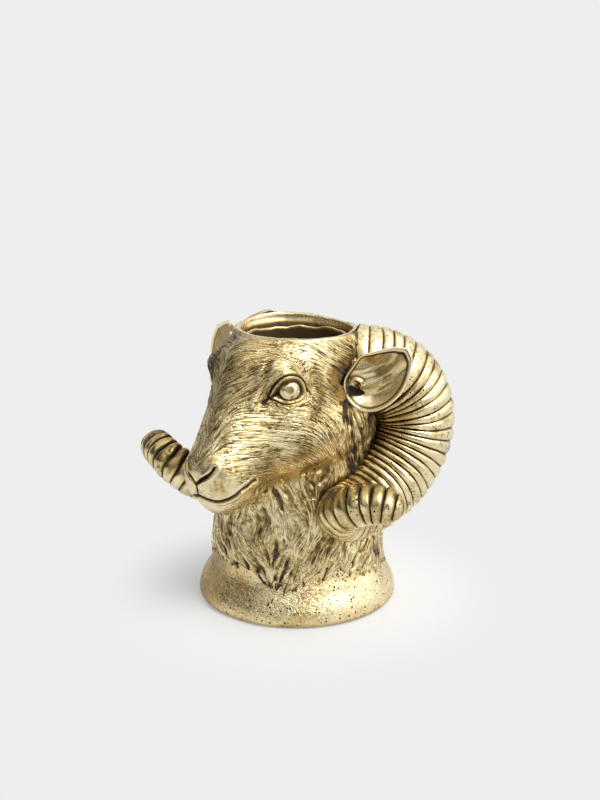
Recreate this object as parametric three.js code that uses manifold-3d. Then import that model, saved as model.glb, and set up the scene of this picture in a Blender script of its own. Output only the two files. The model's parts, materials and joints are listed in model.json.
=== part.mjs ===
// A ram's head vase: a hollow head and neck on a flared foot, with two ribbed
// horns and two ears keyed into sockets, set eyes, a water liner and a felt base.
// Millimetres. +Z is up, the face looks along -Y, and the ram's left is +X.
// The origin is the middle of the surface that the vase stands on.
import * as THREE from "three";
import { mergeVertices } from "three/addons/utils/BufferGeometryUtils.js";
import Module from "manifold-3d";

// Overall sizes
const HEIGHT = 164; // of the mouth's rim, which the head's own points are measured from
const FIT = 0.3; // gap left between two pieces that touch
const ROUND_SIDES = 36; // of everything turned about the axis, so that its flats line up

// Foot
const FOOT_RADIUS = 60;
const FOOT_HEIGHT = 24; // up to the shoulder that the neck stands on
const FOOT_FLOOR = 6; // thickness of the floor inside the foot
const FOOT_WALL = 9;
const FOOT_CURL = 0.8; // rounding of its lower edge
const SPIGOT_HEIGHT = 7; // ring that stands up inside the neck
const SPIGOT_WALL = 3.2;

// Felt base, a disc in a recess under the foot
const FELT_RADIUS = 53;
const FELT_THICKNESS = 1.6;
const FELT_PROUD = 0.6; // below the foot's edge, which it lifts off the table

// Neck and mouth
const NECK_RADIUS = 51;
const NECK_WALL = 8;
const NECK_HOLLOW_HEIGHT = 46; // of the wide part of the hollow above the foot's shoulder
const THROAT_LENGTH = 46; // of the narrow part of the hollow below the rim
const MOUTH_RADIUS = 33;
const LIP_WALL = 3.6;

// Water liner, a bottle-shaped cup put in from below before the foot
const LINER_WALL = 1.8;
const LINER_DROP = 5.5; // of its edge below the rim
const LINER_CLEARANCE = 0.4;

// Head
const SKULL_WIDTH = 72;
const MUZZLE_REACH = 67; // from the axis to the middle of the muzzle's end
const MUZZLE_DROP = 73; // of that middle below the rim
const MUZZLE_RADIUS = 17;
const JAW_RADIUS = 11.5;
const BRIDGE_RADIUS = 14.2; // between the eyes
const BRIDGE_END_RADIUS = 11.6; // at the nose

// Eyes
const EYE_RADIUS = 7;
const EYE_ACROSS = 24.6; // of each eye's centre from the middle of the face
const EYE_REACH = 39.5;
const EYE_DROP = 26.2;
const LID_WIDTH = 21;
const LID_HEIGHT = 14;
const LID_RADIUS = 1.1;

// Grooves of the nose and the mouth
const GROOVE_RADIUS = 0.9;

// Horns
const HORN_RIBS = 40;
const HORN_RIB_CROWDING = 0.27; // 0 for equal ribs, more for ribs that are narrower at the root
const HORN_RIB_DEPTH = 0.08; // as a share of the horn's half width
const HORN_FLATNESS = 0.72; // thickness over width at the root
const HORN_SIDES = 10;
const HORN_TIP_LENGTH = 14; // that rounds off to the end
const HORN_KEY_RADIUS = 9; // round key on the root that seats in the head
const HORN_KEY_DEPTH = 2.6;

// Ears
const EAR_WIDTH = 32;
const EAR_DEPTH = 9;
const EAR_WALL = 2.4;
const EAR_KEY_RADIUS = 3.6;
const EAR_KEY_DEPTH = 2.6;

const gold = { color: 0xc9a75a, roughness: 0.35, metalness: 0.9 };
const brightGold = { color: 0xd8bd78, roughness: 0.28, metalness: 0.9 };
const darkGold = { color: 0x8f7032, roughness: 0.45, metalness: 0.8 };
const felt = { color: 0x2e2b27, roughness: 0.95, metalness: 0 };

const wasm = await Module();
wasm.setup();

// Between three.js geometries and solids that can be joined and cut

// The solid of a closed geometry, or with a side of -1 its mirror image across the face
function solid(geometry, side = 1) {
  const bare = geometry.clone().scale(side, 1, 1);
  bare.deleteAttribute("normal");
  bare.deleteAttribute("uv");
  const merged = mergeVertices(bare, 1e-4);
  const triVerts = new Uint32Array(merged.index.array);
  if (side < 0) triVerts.reverse();
  const vertProperties = new Float32Array(merged.attributes.position.array);
  return new wasm.Manifold(new wasm.Mesh({ numProp: 3, vertProperties, triVerts }));
}

function geometryOf(body) {
  const mesh = body.getMesh();
  const geometry = new THREE.BufferGeometry();
  geometry.setAttribute("position", new THREE.BufferAttribute(mesh.vertProperties, mesh.numProp));
  geometry.setIndex(new THREE.BufferAttribute(mesh.triVerts, 1));
  return geometry;
}

// Simple forms

// A solid of revolution about Z through [radius, height] points from axis to axis
function turned(profile) {
  const points = profile.map(([radius, height]) => new THREE.Vector2(radius, height));
  return new THREE.LatheGeometry(points, ROUND_SIDES).rotateX(Math.PI / 2);
}

// A round bar between two points
function bar(from, to, radius) {
  const along = to.clone().sub(from);
  const upright = new THREE.Vector3(0, 1, 0);
  const turn = new THREE.Quaternion().setFromUnitVectors(upright, along.clone().normalize());
  const middle = from.clone().addScaledVector(along, 0.5);
  return new THREE.CylinderGeometry(radius, radius, along.length(), 14)
    .applyQuaternion(turn)
    .translate(middle.x, middle.y, middle.z);
}

// A closed solid through rings of points, with a fan across each end
function loft(rings) {
  const count = rings[0].length;
  const points = rings.flat();
  const index = [];
  for (let i = 0; i < rings.length - 1; i++)
    for (let j = 0; j < count; j++) {
      const a = i * count + j;
      const b = i * count + ((j + 1) % count);
      index.push(a, b, b + count, a, b + count, a + count);
    }
  const middle = (ring) => ring.reduce((sum, p) => sum.add(p), new THREE.Vector3()).divideScalar(count);
  const hub = points.length;
  const last = (rings.length - 1) * count;
  points.push(middle(rings[0]), middle(rings.at(-1)));
  for (let j = 0; j < count; j++) {
    const next = (j + 1) % count;
    index.push(hub, next, j, hub + 1, last + j, last + next);
  }
  const geometry = new THREE.BufferGeometry().setFromPoints(points);
  geometry.setIndex(index);
  return geometry;
}

// Reads y at x from a smooth line through [x, y] points
function lineThrough(stations) {
  const curve = new THREE.SplineCurve(stations.map(([x, y]) => new THREE.Vector2(x, y)));
  const fine = curve.getPoints(stations.length * 12);
  return (x) => {
    let i = 1;
    while (i < fine.length - 1 && fine[i].x < x) i++;
    const share = (x - fine[i - 1].x) / (fine[i].x - fine[i - 1].x);
    return fine[i - 1].y + (fine[i].y - fine[i - 1].y) * THREE.MathUtils.clamp(share, 0, 1);
  };
}

// Distances from a point to simple forms, negative inside them

function joinSmooth(a, b, blend) {
  const near = Math.max(blend - Math.abs(a - b), 0) / blend;
  return Math.min(a, b) - (near * near * blend) / 4;
}

function toEgg(x, y, z, centre, radii) {
  const px = x - centre[0];
  const py = y - centre[1];
  const pz = z - centre[2];
  const [a, b, c] = radii;
  const whole = Math.hypot(px / a, py / b, pz / c);
  const slope = Math.hypot(px / (a * a), py / (b * b), pz / (c * c));
  return slope < 1e-9 ? -Math.min(a, b, c) : (whole * (whole - 1)) / slope;
}

// A capsule whose radius changes from one end to the other
function toTaper(x, y, z, start, end, startRadius, endRadius) {
  const along = [0, 1, 2].map((k) => end[k] - start[k]);
  const from = [x - start[0], y - start[1], z - start[2]];
  const length2 = along.reduce((sum, v) => sum + v * v, 0);
  const share = THREE.MathUtils.clamp(from.reduce((sum, v, k) => sum + v * along[k], 0) / length2, 0, 1);
  const off = from.map((v, k) => v - along[k] * share);
  return Math.hypot(...off) - (startRadius + (endRadius - startRadius) * share);
}

// The outer skin of the head and neck, as one smooth blend of such forms

const neckTop = MOUTH_RADIUS + LIP_WALL;
const neckRadius = lineThrough([
  [0, NECK_RADIUS - 0.5],
  [FOOT_HEIGHT, NECK_RADIUS],
  [FOOT_HEIGHT + 16, NECK_RADIUS + 0.2],
  [FOOT_HEIGHT + 38, NECK_RADIUS - 2.5],
  [FOOT_HEIGHT + 61, NECK_RADIUS - 5],
  [HEIGHT - 64, NECK_RADIUS - 5],
  [HEIGHT - 54, NECK_RADIUS - 5],
  [HEIGHT - 46, NECK_RADIUS - 6.5],
  [HEIGHT - 34, neckTop + 4],
  [HEIGHT - 19, neckTop + 1.3],
  [HEIGHT + 30, neckTop - 1.5],
]);

const skullCentre = [0, -18, -26];
const skullRadii = [SKULL_WIDTH / 2, 33, 30];
const muzzleEnd = [0, -MUZZLE_REACH, -MUZZLE_DROP];
const browMiddle = [0, -44, -18];
const noseTop = [0, -MUZZLE_REACH - 6, -63];
const noseRadii = [MUZZLE_RADIUS + 0.6, 14.5, 13];

function skin(xEither, y, zTable) {
  const x = Math.abs(xEither);
  const z = zTable - HEIGHT;
  const neck = Math.hypot(x, y) - neckRadius(zTable);
  const skull = toEgg(x, y, z, skullCentre, skullRadii);
  const muzzle = toTaper(x / 1.08, y, z, [0, -34, -44], muzzleEnd, 27, MUZZLE_RADIUS);
  const nose = toEgg(x, y, z, [0, -MUZZLE_REACH - 6, -MUZZLE_DROP], noseRadii);
  const bridge = toTaper(x, y, z, browMiddle, noseTop, BRIDGE_RADIUS, BRIDGE_END_RADIUS);
  const jaw = toTaper(x, y, z, [0, -22, -66], [0, -MUZZLE_REACH + 1, -MUZZLE_DROP - 11], 20, JAW_RADIUS);
  const cheek = toEgg(x, y, z, [21, -26, -52], [15, 20, 20]);
  const brow = toEgg(x, y, z, [EYE_ACROSS - 4.5, -EYE_REACH - 1.5, -EYE_DROP + 10], [9, 9, 7]);
  const boss = toEgg(x, y, z, [30, 8, -17], [12, 14, 19]);
  let d = joinSmooth(neck, skull, 10);
  d = joinSmooth(d, muzzle, 12);
  d = joinSmooth(d, nose, 5);
  d = joinSmooth(d, bridge, 14);
  d = joinSmooth(d, jaw, 12);
  d = joinSmooth(d, cheek, 10);
  d = joinSmooth(d, brow, 10);
  d = joinSmooth(d, boss, 8);
  return Math.max(d, z - 14, FOOT_HEIGHT - 10 - zTable);
}

function slope(field, p, step = 0.1) {
  const here = field(p.x, p.y, p.z);
  return new THREE.Vector3(
    field(p.x + step, p.y, p.z) - here,
    field(p.x, p.y + step, p.z) - here,
    field(p.x, p.y, p.z + step) - here
  ).divideScalar(step);
}

// Moves a point along the field's slope until it lies on the surface where the field is zero
function settle(field, p, turns = 4) {
  for (let turn = 0; turn < turns; turn++) {
    const g = slope(field, p);
    if (g.lengthSq() > 0.05) p.addScaledVector(g, -field(p.x, p.y, p.z) / g.lengthSq());
  }
  return p;
}

// The grid lines along one axis: [from, to, spacing] stretches, closer together where the form is finer
function gridLines(stretches) {
  const lines = [];
  for (const [from, to, spacing] of stretches) {
    const count = Math.max(1, Math.round((to - from) / spacing));
    for (let i = 0; i < count; i++) lines.push(from + ((to - from) * i) / count);
  }
  lines.push(stretches.at(-1)[1]);
  return lines;
}

// A closed mesh of the surface where a field is zero: a point in each cell of the grid
// that the surface crosses, and a face across each grid edge where the field changes sign
function meshField(field, lines) {
  const n = lines.map((axis) => axis.length);
  const at = (i, j, k) => (k * n[1] + j) * n[0] + i;
  const values = new Float64Array(n[0] * n[1] * n[2]);
  for (let k = 0; k < n[2]; k++)
    for (let j = 0; j < n[1]; j++)
      for (let i = 0; i < n[0]; i++) values[at(i, j, k)] = field(lines[0][i], lines[1][j], lines[2][k]);
  const pointOf = new Map();
  const points = [];
  for (let k = 0; k < n[2] - 1; k++)
    for (let j = 0; j < n[1] - 1; j++)
      for (let i = 0; i < n[0] - 1; i++) {
        const sum = new THREE.Vector3();
        let crossings = 0;
        for (let corner = 0; corner < 8; corner++)
          for (let axis = 0; axis < 3; axis++) {
            if (corner & (1 << axis)) continue;
            const a = [i + (corner & 1), j + ((corner >> 1) & 1), k + (corner >> 2)];
            const b = a.slice();
            b[axis]++;
            const va = values[at(...a)];
            const vb = values[at(...b)];
            if (va < 0 === vb < 0) continue;
            const cross = a.map((v, m) => lines[m][v]);
            cross[axis] = THREE.MathUtils.lerp(cross[axis], lines[axis][b[axis]], va / (va - vb));
            sum.add(new THREE.Vector3(...cross));
            crossings++;
          }
        if (!crossings) continue;
        pointOf.set(at(i, j, k), points.length);
        points.push(sum.divideScalar(crossings));
      }
  const faces = [];
  for (let k = 0; k < n[2] - 1; k++)
    for (let j = 0; j < n[1] - 1; j++)
      for (let i = 0; i < n[0] - 1; i++)
        for (let axis = 0; axis < 3; axis++) {
          const here = [i, j, k];
          const next = here.slice();
          next[axis]++;
          const inside = values[at(...here)] < 0;
          if (inside === values[at(...next)] < 0) continue;
          const ring = [[0, 0], [-1, 0], [-1, -1], [0, -1]].map(([du, dv]) => {
            const cell = here.slice();
            cell[(axis + 1) % 3] += du;
            cell[(axis + 2) % 3] += dv;
            return pointOf.get(at(...cell));
          });
          faces.push(inside ? ring : ring.reverse());
        }
  spread(points, faces, field);
  const index = [];
  for (const [a, b, c, d] of faces)
    if (points[a].distanceTo(points[c]) < points[b].distanceTo(points[d])) index.push(a, b, c, a, c, d);
    else index.push(b, c, d, b, d, a);
  return new THREE.BufferGeometry().setFromPoints(points).setIndex(index);
}

// Evens out a mesh's points along the surface
function spread(points, faces, field) {
  const neighbours = points.map(() => new Set());
  for (const face of faces)
    face.forEach((p, m) => {
      neighbours[p].add(face[(m + 1) % 4]);
      neighbours[p].add(face[(m + 3) % 4]);
    });
  for (let pass = 0; pass < 4; pass++) {
    const moved = points.map((p, i) => {
      const mean = new THREE.Vector3();
      for (const q of neighbours[i]) mean.add(points[q]);
      return p.clone().lerp(mean.divideScalar(neighbours[i].size), 0.5);
    });
    moved.forEach((p, i) => points[i].copy(settle(field, p, 2)));
  }
}

const sideReach = NECK_RADIUS + 12;
const throatBase = FOOT_HEIGHT + 34;
const crownBase = HEIGHT - 14;
const fullLines = [
  gridLines([[-sideReach, -28, 9], [-28, 0, 5.3], [0, 28, 5.3], [28, sideReach, 9]]),
  gridLines([[-MUZZLE_REACH - 26, -28, 5], [-28, 8, 6.5], [8, sideReach, 9]]),
  gridLines([[FOOT_HEIGHT - 26, throatBase, 12], [throatBase, crownBase, 5.5], [crownBase, HEIGHT + 28, 9]]),
];

// Horn: a curve from inside the head, with the widths that its ribs follow

function crown(x, y, z) {
  return new THREE.Vector3(x, y, HEIGHT + z);
}

const hornPath = new THREE.CatmullRomCurve3(
  [
    crown(24, 6, -21.5),
    crown(37, 15, -20),
    crown(48, 26.5, -26),
    crown(55, 36.5, -39),
    crown(58, 40, -56),
    crown(57, 34.5, -73),
    crown(54, 20, -87.5),
    crown(51.5, 1, -96),
    crown(51, -18, -98),
    crown(55, -33, -94),
    crown(66, -40, -86),
    crown(80, -37, -81),
    crown(95, -29, -83),
  ],
  false,
  "centripetal"
);
const hornWidth = lineThrough([
  [0, 20.5],
  [0.12, 22.2],
  [0.22, 23.5],
  [0.4, 23.3],
  [0.5, 22],
  [0.62, 18.7],
  [0.7, 16.2],
  [0.82, 12],
  [0.92, 10.5],
  [1, 9.5],
]);
const ribProfile = [[0, -1], [0.35, 1]]; // place along one rib and height, of its groove and its crest

function hornRings(extra = 0) {
  const steps = HORN_RIBS * ribProfile.length;
  const length = hornPath.getLength();
  const across = new THREE.Vector3(0.8, -0.55, 0.2); // the thin way through the horn at its root
  const rings = [];
  for (let i = 0; i <= steps; i++) {
    const even = (Math.floor(i / ribProfile.length) + ribProfile[i % ribProfile.length][0]) / HORN_RIBS;
    const t = even * (1 - HORN_RIB_CROWDING * (1 - even) ** 2);
    const centre = hornPath.getPointAt(t);
    const tangent = hornPath.getTangentAt(t);
    across.addScaledVector(tangent, -across.dot(tangent)).normalize();
    const outward = new THREE.Vector3().crossVectors(tangent, across);
    const toEnd = Math.min(1, ((1 - t) * length) / HORN_TIP_LENGTH);
    const rounding = 0.3 + 0.7 * Math.sqrt(1 - (1 - toEnd) ** 2);
    const rib = 1 + (HORN_RIB_DEPTH / 2) * ribProfile[i % ribProfile.length][1];
    const half = hornWidth(t) * rib * rounding + extra;
    const thin = (half - extra) * (HORN_FLATNESS + 0.18 * t) + extra;
    const ring = [];
    for (let j = 0; j < HORN_SIDES; j++) {
      const turn = (j / HORN_SIDES) * 2 * Math.PI;
      const point = centre.clone().addScaledVector(across, Math.cos(turn) * thin);
      ring.push(point.addScaledVector(outward, Math.sin(turn) * half));
    }
    rings.push(ring);
  }
  return rings;
}

// Ear: a scooped leaf, as crescents across a curve, on a stalk that is solid at the root

const earLine = new THREE.QuadraticBezierCurve3(crown(31, -9, -22), crown(58, -3, -35), crown(71, 9.5, -6));
const earFacing = new THREE.Vector3(0.4, -0.9, 0);
const earWidth = lineThrough([
  [0, 0.4],
  [0.12, 0.52],
  [0.25, 0.76],
  [0.5, 1],
  [0.75, 0.78],
  [0.9, 0.48],
  [1, 0.14],
]);
const earDepth = lineThrough([[0, 0.62], [0.25, 1], [0.6, 0.8], [1, 0.2]]);
const EAR_STEPS = 11;
const EAR_ARC_POINTS = 7;

function earRings() {
  const rings = [];
  for (let i = 0; i <= EAR_STEPS; i++) {
    const t = i / EAR_STEPS;
    const centre = earLine.getPointAt(t);
    const tangent = earLine.getTangentAt(t);
    const facing = earFacing.clone().addScaledVector(tangent, -earFacing.dot(tangent)).normalize();
    const across = new THREE.Vector3().crossVectors(facing, tangent);
    const half = (EAR_WIDTH / 2) * earWidth(t);
    const deep = EAR_DEPTH * earDepth(t);
    const wall = Math.min(EAR_WALL, half * 0.45, deep * 0.6);
    const open = THREE.MathUtils.smoothstep(t, 0.14, 0.36);
    const ring = [];
    const arc = (from, to, side, depth) => {
      for (let j = 0; j <= EAR_ARC_POINTS; j++) {
        const turn = (THREE.MathUtils.lerp(from, to, j / EAR_ARC_POINTS) * Math.PI) / 2;
        const point = centre.clone().addScaledVector(across, Math.sin(turn) * side);
        ring.push(point.addScaledVector(facing, -Math.cos(turn) * depth));
      }
    };
    arc(-1, 1, half, deep);
    arc(1, -1, half - wall * open, THREE.MathUtils.lerp(-0.85 * deep, deep - wall, open));
    rings.push(ring);
  }
  return rings;
}

// Where a curve comes out of the skin, and which way it goes there
function exitOf(curve) {
  let t = 0;
  while (t < 1 && skin(...curve.getPointAt(t).toArray()) < 0) t += 0.002;
  return { place: curve.getPointAt(t), along: curve.getTangentAt(t) };
}

// A round key from inside an added piece into the head, and the pocket bored for it
function keyAt({ place, along }, radius, depth) {
  const outer = place.clone().addScaledVector(along, depth);
  return {
    key: bar(place.clone().addScaledVector(along, -depth), outer, radius),
    pocket: bar(place.clone().addScaledVector(along, -depth - FIT), outer, radius + FIT),
  };
}

// Eyelids: a ring of tube that lies on the skin and over the eyeball

const eyeCentre = new THREE.Vector3(EYE_ACROSS, -EYE_REACH, HEIGHT - EYE_DROP);
const overEye = (x, y, z) => {
  const ball = Math.hypot(x - eyeCentre.x, y - eyeCentre.y, z - eyeCentre.z) - EYE_RADIUS - 0.5;
  return joinSmooth(skin(x, y, z), ball, 2);
};

function eyelids() {
  const out = slope(skin, settle(skin, eyeCentre.clone())).normalize();
  const along = new THREE.Vector3().crossVectors(out, new THREE.Vector3(0, 0, 1)).normalize();
  const up = new THREE.Vector3().crossVectors(along, out);
  const ring = [];
  const count = 20;
  for (let i = 0; i < count; i++) {
    const turn = (i / count) * 2 * Math.PI;
    const p = eyeCentre
      .clone()
      .addScaledVector(out, EYE_RADIUS * 0.7)
      .addScaledVector(along, (Math.cos(turn) * LID_WIDTH) / 2)
      .addScaledVector(up, (Math.sin(turn) * LID_HEIGHT) / 2);
    ring.push(settle(overEye, p));
  }
  return new THREE.TubeGeometry(new THREE.CatmullRomCurve3(ring, true), 24, LID_RADIUS, 5, true);
}

// Grooves: a round bar swept along a line of points that are laid on the skin

function groove(points) {
  const line = new THREE.CatmullRomCurve3(points.map((p) => settle(skin, crown(...p))));
  const round = new THREE.Shape().absarc(0, 0, GROOVE_RADIUS, 0, 2 * Math.PI);
  const sweep = { steps: 10, curveSegments: 3, bevelEnabled: false, extrudePath: line };
  return new THREE.ExtrudeGeometry(round, sweep);
}

const noseMiddle = [0, -MUZZLE_REACH - 14, -MUZZLE_DROP];
const mouthMiddle = [0, -MUZZLE_REACH - 10, -MUZZLE_DROP - 9];
const mouthCorner = [20, -MUZZLE_REACH + 7, -MUZZLE_DROP + 1];
const nostrilEnd = [10, -MUZZLE_REACH - 8, -MUZZLE_DROP + 7];

function midway(a, b, push) {
  return a.map((v, k) => (v + b[k]) / 2 + push[k]);
}

const mouthSide = midway(mouthMiddle, mouthCorner, [3, -5, -3]);
const farSide = ([x, y, z]) => [-x, y, z];
const mouthLine = [mouthCorner, mouthSide, mouthMiddle, farSide(mouthSide), farSide(mouthCorner)];
const nostrilLine = [nostrilEnd, midway(nostrilEnd, noseMiddle, [1, -1, -1]), noseMiddle];
const lipLine = [noseMiddle, midway(noseMiddle, mouthMiddle, [0, -2, 0]), mouthMiddle];

// Horn and ear, each cut to sit on the skin and keyed into it

const looseSkin = solid(meshField((x, y, z) => skin(x, y, z) - FIT, fullLines));
const looseHorn = solid(loft(hornRings(1.9 * FIT)));
const hornKey = keyAt(exitOf(hornPath), HORN_KEY_RADIUS, HORN_KEY_DEPTH);
const earKey = keyAt(exitOf(earLine), EAR_KEY_RADIUS, EAR_KEY_DEPTH);
const hornBody = solid(loft(hornRings())).subtract(looseSkin).add(solid(hornKey.key));
const earBody = solid(loft(earRings())).subtract(looseSkin).subtract(looseHorn).add(solid(earKey.key));

// Head and neck: the skin, trimmed, bored and cut for what fits on it

const trimReach = 2 * (MUZZLE_REACH + NECK_RADIUS);
const rimTrim = new THREE.BoxGeometry(trimReach, trimReach, 60).translate(0, 0, HEIGHT + 30);
const neckTrim = new THREE.BoxGeometry(trimReach, trimReach, 60).translate(0, 0, FOOT_HEIGHT + FIT - 30);
const hollowRadius = NECK_RADIUS - NECK_WALL;
const hollow = turned(
  [
    [0, 0],
    [hollowRadius, 0],
    [hollowRadius, FOOT_HEIGHT + NECK_HOLLOW_HEIGHT],
    [MOUTH_RADIUS, HEIGHT - THROAT_LENGTH],
    [MOUTH_RADIUS, HEIGHT + 30],
    [0, HEIGHT + 30],
  ]
);

const eyeSocket = new THREE.SphereGeometry(EYE_RADIUS + FIT, 14, 10).translate(...eyeCentre.toArray());
let headBody = solid(meshField(skin, fullLines));
for (const side of [1, -1]) {
  headBody = headBody.add(solid(eyelids(), side));
  for (const cut of [eyeSocket, hornKey.pocket, earKey.pocket, groove(nostrilLine)])
    headBody = headBody.subtract(solid(cut, side));
}
for (const cut of [groove(mouthLine), groove(lipLine), rimTrim, neckTrim, hollow])
  headBody = headBody.subtract(solid(cut));

// Foot: a turned, hollow ring with a floor, and a spigot that stands up inside the neck

const feltSeat = FELT_THICKNESS + FIT;
const floorTop = feltSeat + FOOT_FLOOR;
const footEdge = FELT_PROUD;
const spigotRadius = hollowRadius - FIT;
const swell = new THREE.CubicBezierCurve(
  new THREE.Vector2(FOOT_RADIUS, footEdge + 3),
  new THREE.Vector2(FOOT_RADIUS, footEdge + 11),
  new THREE.Vector2(NECK_RADIUS + 1.6, FOOT_HEIGHT - 6),
  new THREE.Vector2(NECK_RADIUS - 0.6, FOOT_HEIGHT)
);
const footProfile = [
  [0, feltSeat],
  [FELT_RADIUS + FIT, feltSeat],
  [FELT_RADIUS + FIT, footEdge],
  [FOOT_RADIUS - FOOT_CURL, footEdge],
  [FOOT_RADIUS, footEdge + FOOT_CURL],
  ...swell.getPoints(5).map((p) => p.toArray()),
  [spigotRadius, FOOT_HEIGHT],
  [spigotRadius, FOOT_HEIGHT + SPIGOT_HEIGHT],
  [spigotRadius - SPIGOT_WALL, FOOT_HEIGHT + SPIGOT_HEIGHT],
  [spigotRadius - SPIGOT_WALL, FOOT_HEIGHT - 4],
  [FOOT_RADIUS - FOOT_WALL, floorTop + 4],
  [FOOT_RADIUS - FOOT_WALL, floorTop],
  [0, floorTop],
];
const footGeometry = turned(footProfile);
const feltGeometry = turned([[0, 0], [FELT_RADIUS, 0], [FELT_RADIUS, FELT_THICKNESS], [0, FELT_THICKNESS]]);

// Water liner: it stands on the foot's floor, follows the hollow and stops below the rim

const linerBottom = floorTop + FIT;
const linerShoulder = FOOT_HEIGHT + NECK_HOLLOW_HEIGHT;
const linerWide = spigotRadius - SPIGOT_WALL - LINER_CLEARANCE;
const linerNarrow = MOUTH_RADIUS - LINER_CLEARANCE;
const linerProfile = [
  [0, linerBottom],
  [linerWide, linerBottom],
  [linerWide, linerShoulder],
  [linerNarrow, HEIGHT - THROAT_LENGTH],
  [linerNarrow, HEIGHT - LINER_DROP],
  [linerNarrow - LINER_WALL, HEIGHT - LINER_DROP],
  [linerNarrow - LINER_WALL, HEIGHT - THROAT_LENGTH],
  [linerWide - LINER_WALL, linerShoulder],
  [linerWide - LINER_WALL, linerBottom + LINER_WALL],
  [0, linerBottom + LINER_WALL],
];

// Assembly

const ram = new THREE.Group();

function add(name, geometry, look) {
  const mesh = new THREE.Mesh(geometry, new THREE.MeshStandardMaterial(look));
  mesh.name = name;
  ram.add(mesh);
  return mesh;
}

add("felt_base", feltGeometry, felt);
add("foot", footGeometry, gold);
add("head_and_neck", geometryOf(headBody), gold);
add("water_liner", turned(linerProfile), darkGold);

const eyeGeometry = new THREE.SphereGeometry(EYE_RADIUS, 14, 10).translate(...eyeCentre.toArray());
for (const [side, sign] of [["left", 1], ["right", -1]]) {
  add(`horn_${side}`, geometryOf(hornBody), brightGold).scale.x = sign;
  add(`ear_${side}`, geometryOf(earBody), gold).scale.x = sign;
  add(`eye_${side}`, eyeGeometry, brightGold).scale.x = sign;
}

export default ram;
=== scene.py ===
# %% [markdown]
# # A ram's head vase
# The vase is one hollow casting: a ram's head and neck on a flared foot, with ribbed horns,
# leaf-shaped ears, set eyes and a cup inside for the water, finished in antique gold.
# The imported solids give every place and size. This file dresses them: each solid is
# replaced by a finer piece of the same shape, with the fur, ribs and wear of the casting.

import json
import math

import bmesh
import bpy
import numpy as np
from mathutils import Matrix, Vector

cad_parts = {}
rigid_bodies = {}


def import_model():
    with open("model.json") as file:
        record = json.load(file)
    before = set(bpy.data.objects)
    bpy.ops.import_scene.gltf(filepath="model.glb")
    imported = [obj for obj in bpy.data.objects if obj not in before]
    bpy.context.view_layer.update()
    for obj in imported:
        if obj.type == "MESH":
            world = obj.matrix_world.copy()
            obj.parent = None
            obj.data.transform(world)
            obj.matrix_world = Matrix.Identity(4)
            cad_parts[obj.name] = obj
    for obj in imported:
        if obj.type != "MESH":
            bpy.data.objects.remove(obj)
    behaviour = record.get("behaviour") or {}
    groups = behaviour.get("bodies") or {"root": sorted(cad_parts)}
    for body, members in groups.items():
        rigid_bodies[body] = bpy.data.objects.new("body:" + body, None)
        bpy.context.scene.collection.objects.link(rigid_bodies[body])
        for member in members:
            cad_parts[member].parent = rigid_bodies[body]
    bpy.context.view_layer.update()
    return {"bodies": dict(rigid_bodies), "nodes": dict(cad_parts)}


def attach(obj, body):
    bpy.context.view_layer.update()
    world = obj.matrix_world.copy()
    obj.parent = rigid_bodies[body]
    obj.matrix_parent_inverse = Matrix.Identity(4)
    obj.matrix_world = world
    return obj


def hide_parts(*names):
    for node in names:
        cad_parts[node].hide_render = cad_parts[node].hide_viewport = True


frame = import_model()
BODY = next(iter(frame["bodies"]))
print("body", BODY, "nodes", sorted(frame["nodes"]))

# %% [markdown]
# ## Camera
# The camera stands 38 degrees to the ram's left of its face and looks 15 degrees down, with
# a 50 mm lens 0.6 m away from the muzzle. From closer by, the muzzle would look swollen.

# %% Set up the camera
CAMERA_TURN = math.radians(38)
CAMERA_REACH = 0.638
CAMERA_HEIGHT = 0.291
CAMERA_DIP = math.radians(15.05)
CAMERA_ASIDE = math.radians(-0.155)  # turned a little so that the vase stands left of the middle

eye_of_camera = Vector((
    CAMERA_REACH * math.sin(CAMERA_TURN), -CAMERA_REACH * math.cos(CAMERA_TURN), CAMERA_HEIGHT,
))
camera = bpy.data.objects.new("camera", bpy.data.cameras.new("camera"))
camera.data.lens = 50
camera.data.sensor_fit = "AUTO"
camera.data.sensor_width = 36
camera.location = eye_of_camera
camera.rotation_euler = (math.pi / 2 - CAMERA_DIP, 0, CAMERA_TURN + CAMERA_ASIDE)
bpy.context.scene.collection.objects.link(camera)
bpy.context.scene.camera = camera
bpy.context.scene.view_settings.view_transform = "Standard"
print("camera at", [round(v, 3) for v in eye_of_camera])

# %% [markdown]
# ## Light
# Metal shows what stands round it, so an even white room would make it look like paint.
# The room here is pale overhead and to the ram's left, darker in front and to the far
# side, and two wide soft suns model the relief. Suns light the floor evenly, where a
# nearby soft box would leave a bright pool on it.

# %% Helpers that add shader nodes
def add_node(tree, kind, at=None, **settings):
    node = tree.nodes.new(kind)
    for name, value in settings.items():
        setattr(node, name, value)
    for socket, value in (at or {}).items():
        if isinstance(value, bpy.types.NodeSocket):
            tree.links.new(value, node.inputs[socket])
        else:
            node.inputs[socket].default_value = value
    return node


def sums(tree, how, a, b, clamp=False):
    return add_node(tree, "ShaderNodeMath", {0: a, 1: b}, operation=how, use_clamp=clamp).outputs[0]


def mapped(tree, value, low, high, to_low=0.0, to_high=1.0):
    places = {"Value": value, 1: low, 2: high, 3: to_low, 4: to_high}
    return add_node(tree, "ShaderNodeMapRange", places, interpolation_type="SMOOTHSTEP").outputs[0]


def mixed(tree, share, a, b):
    node = add_node(tree, "ShaderNodeMix", data_type="RGBA")
    for socket, value in ((0, share), (6, a), (7, b)):
        if isinstance(value, bpy.types.NodeSocket):
            tree.links.new(value, node.inputs[socket])
        else:
            node.inputs[socket].default_value = value
    return node.outputs[2]


# %% Paint the room
PALE = 0.855  # the pale grey behind the vase
world = bpy.data.worlds.new("room")
world.use_nodes = True
bpy.context.scene.world = world
tree = world.node_tree
tree.nodes.clear()
way = add_node(tree, "ShaderNodeTexCoord").outputs["Generated"]


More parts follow.
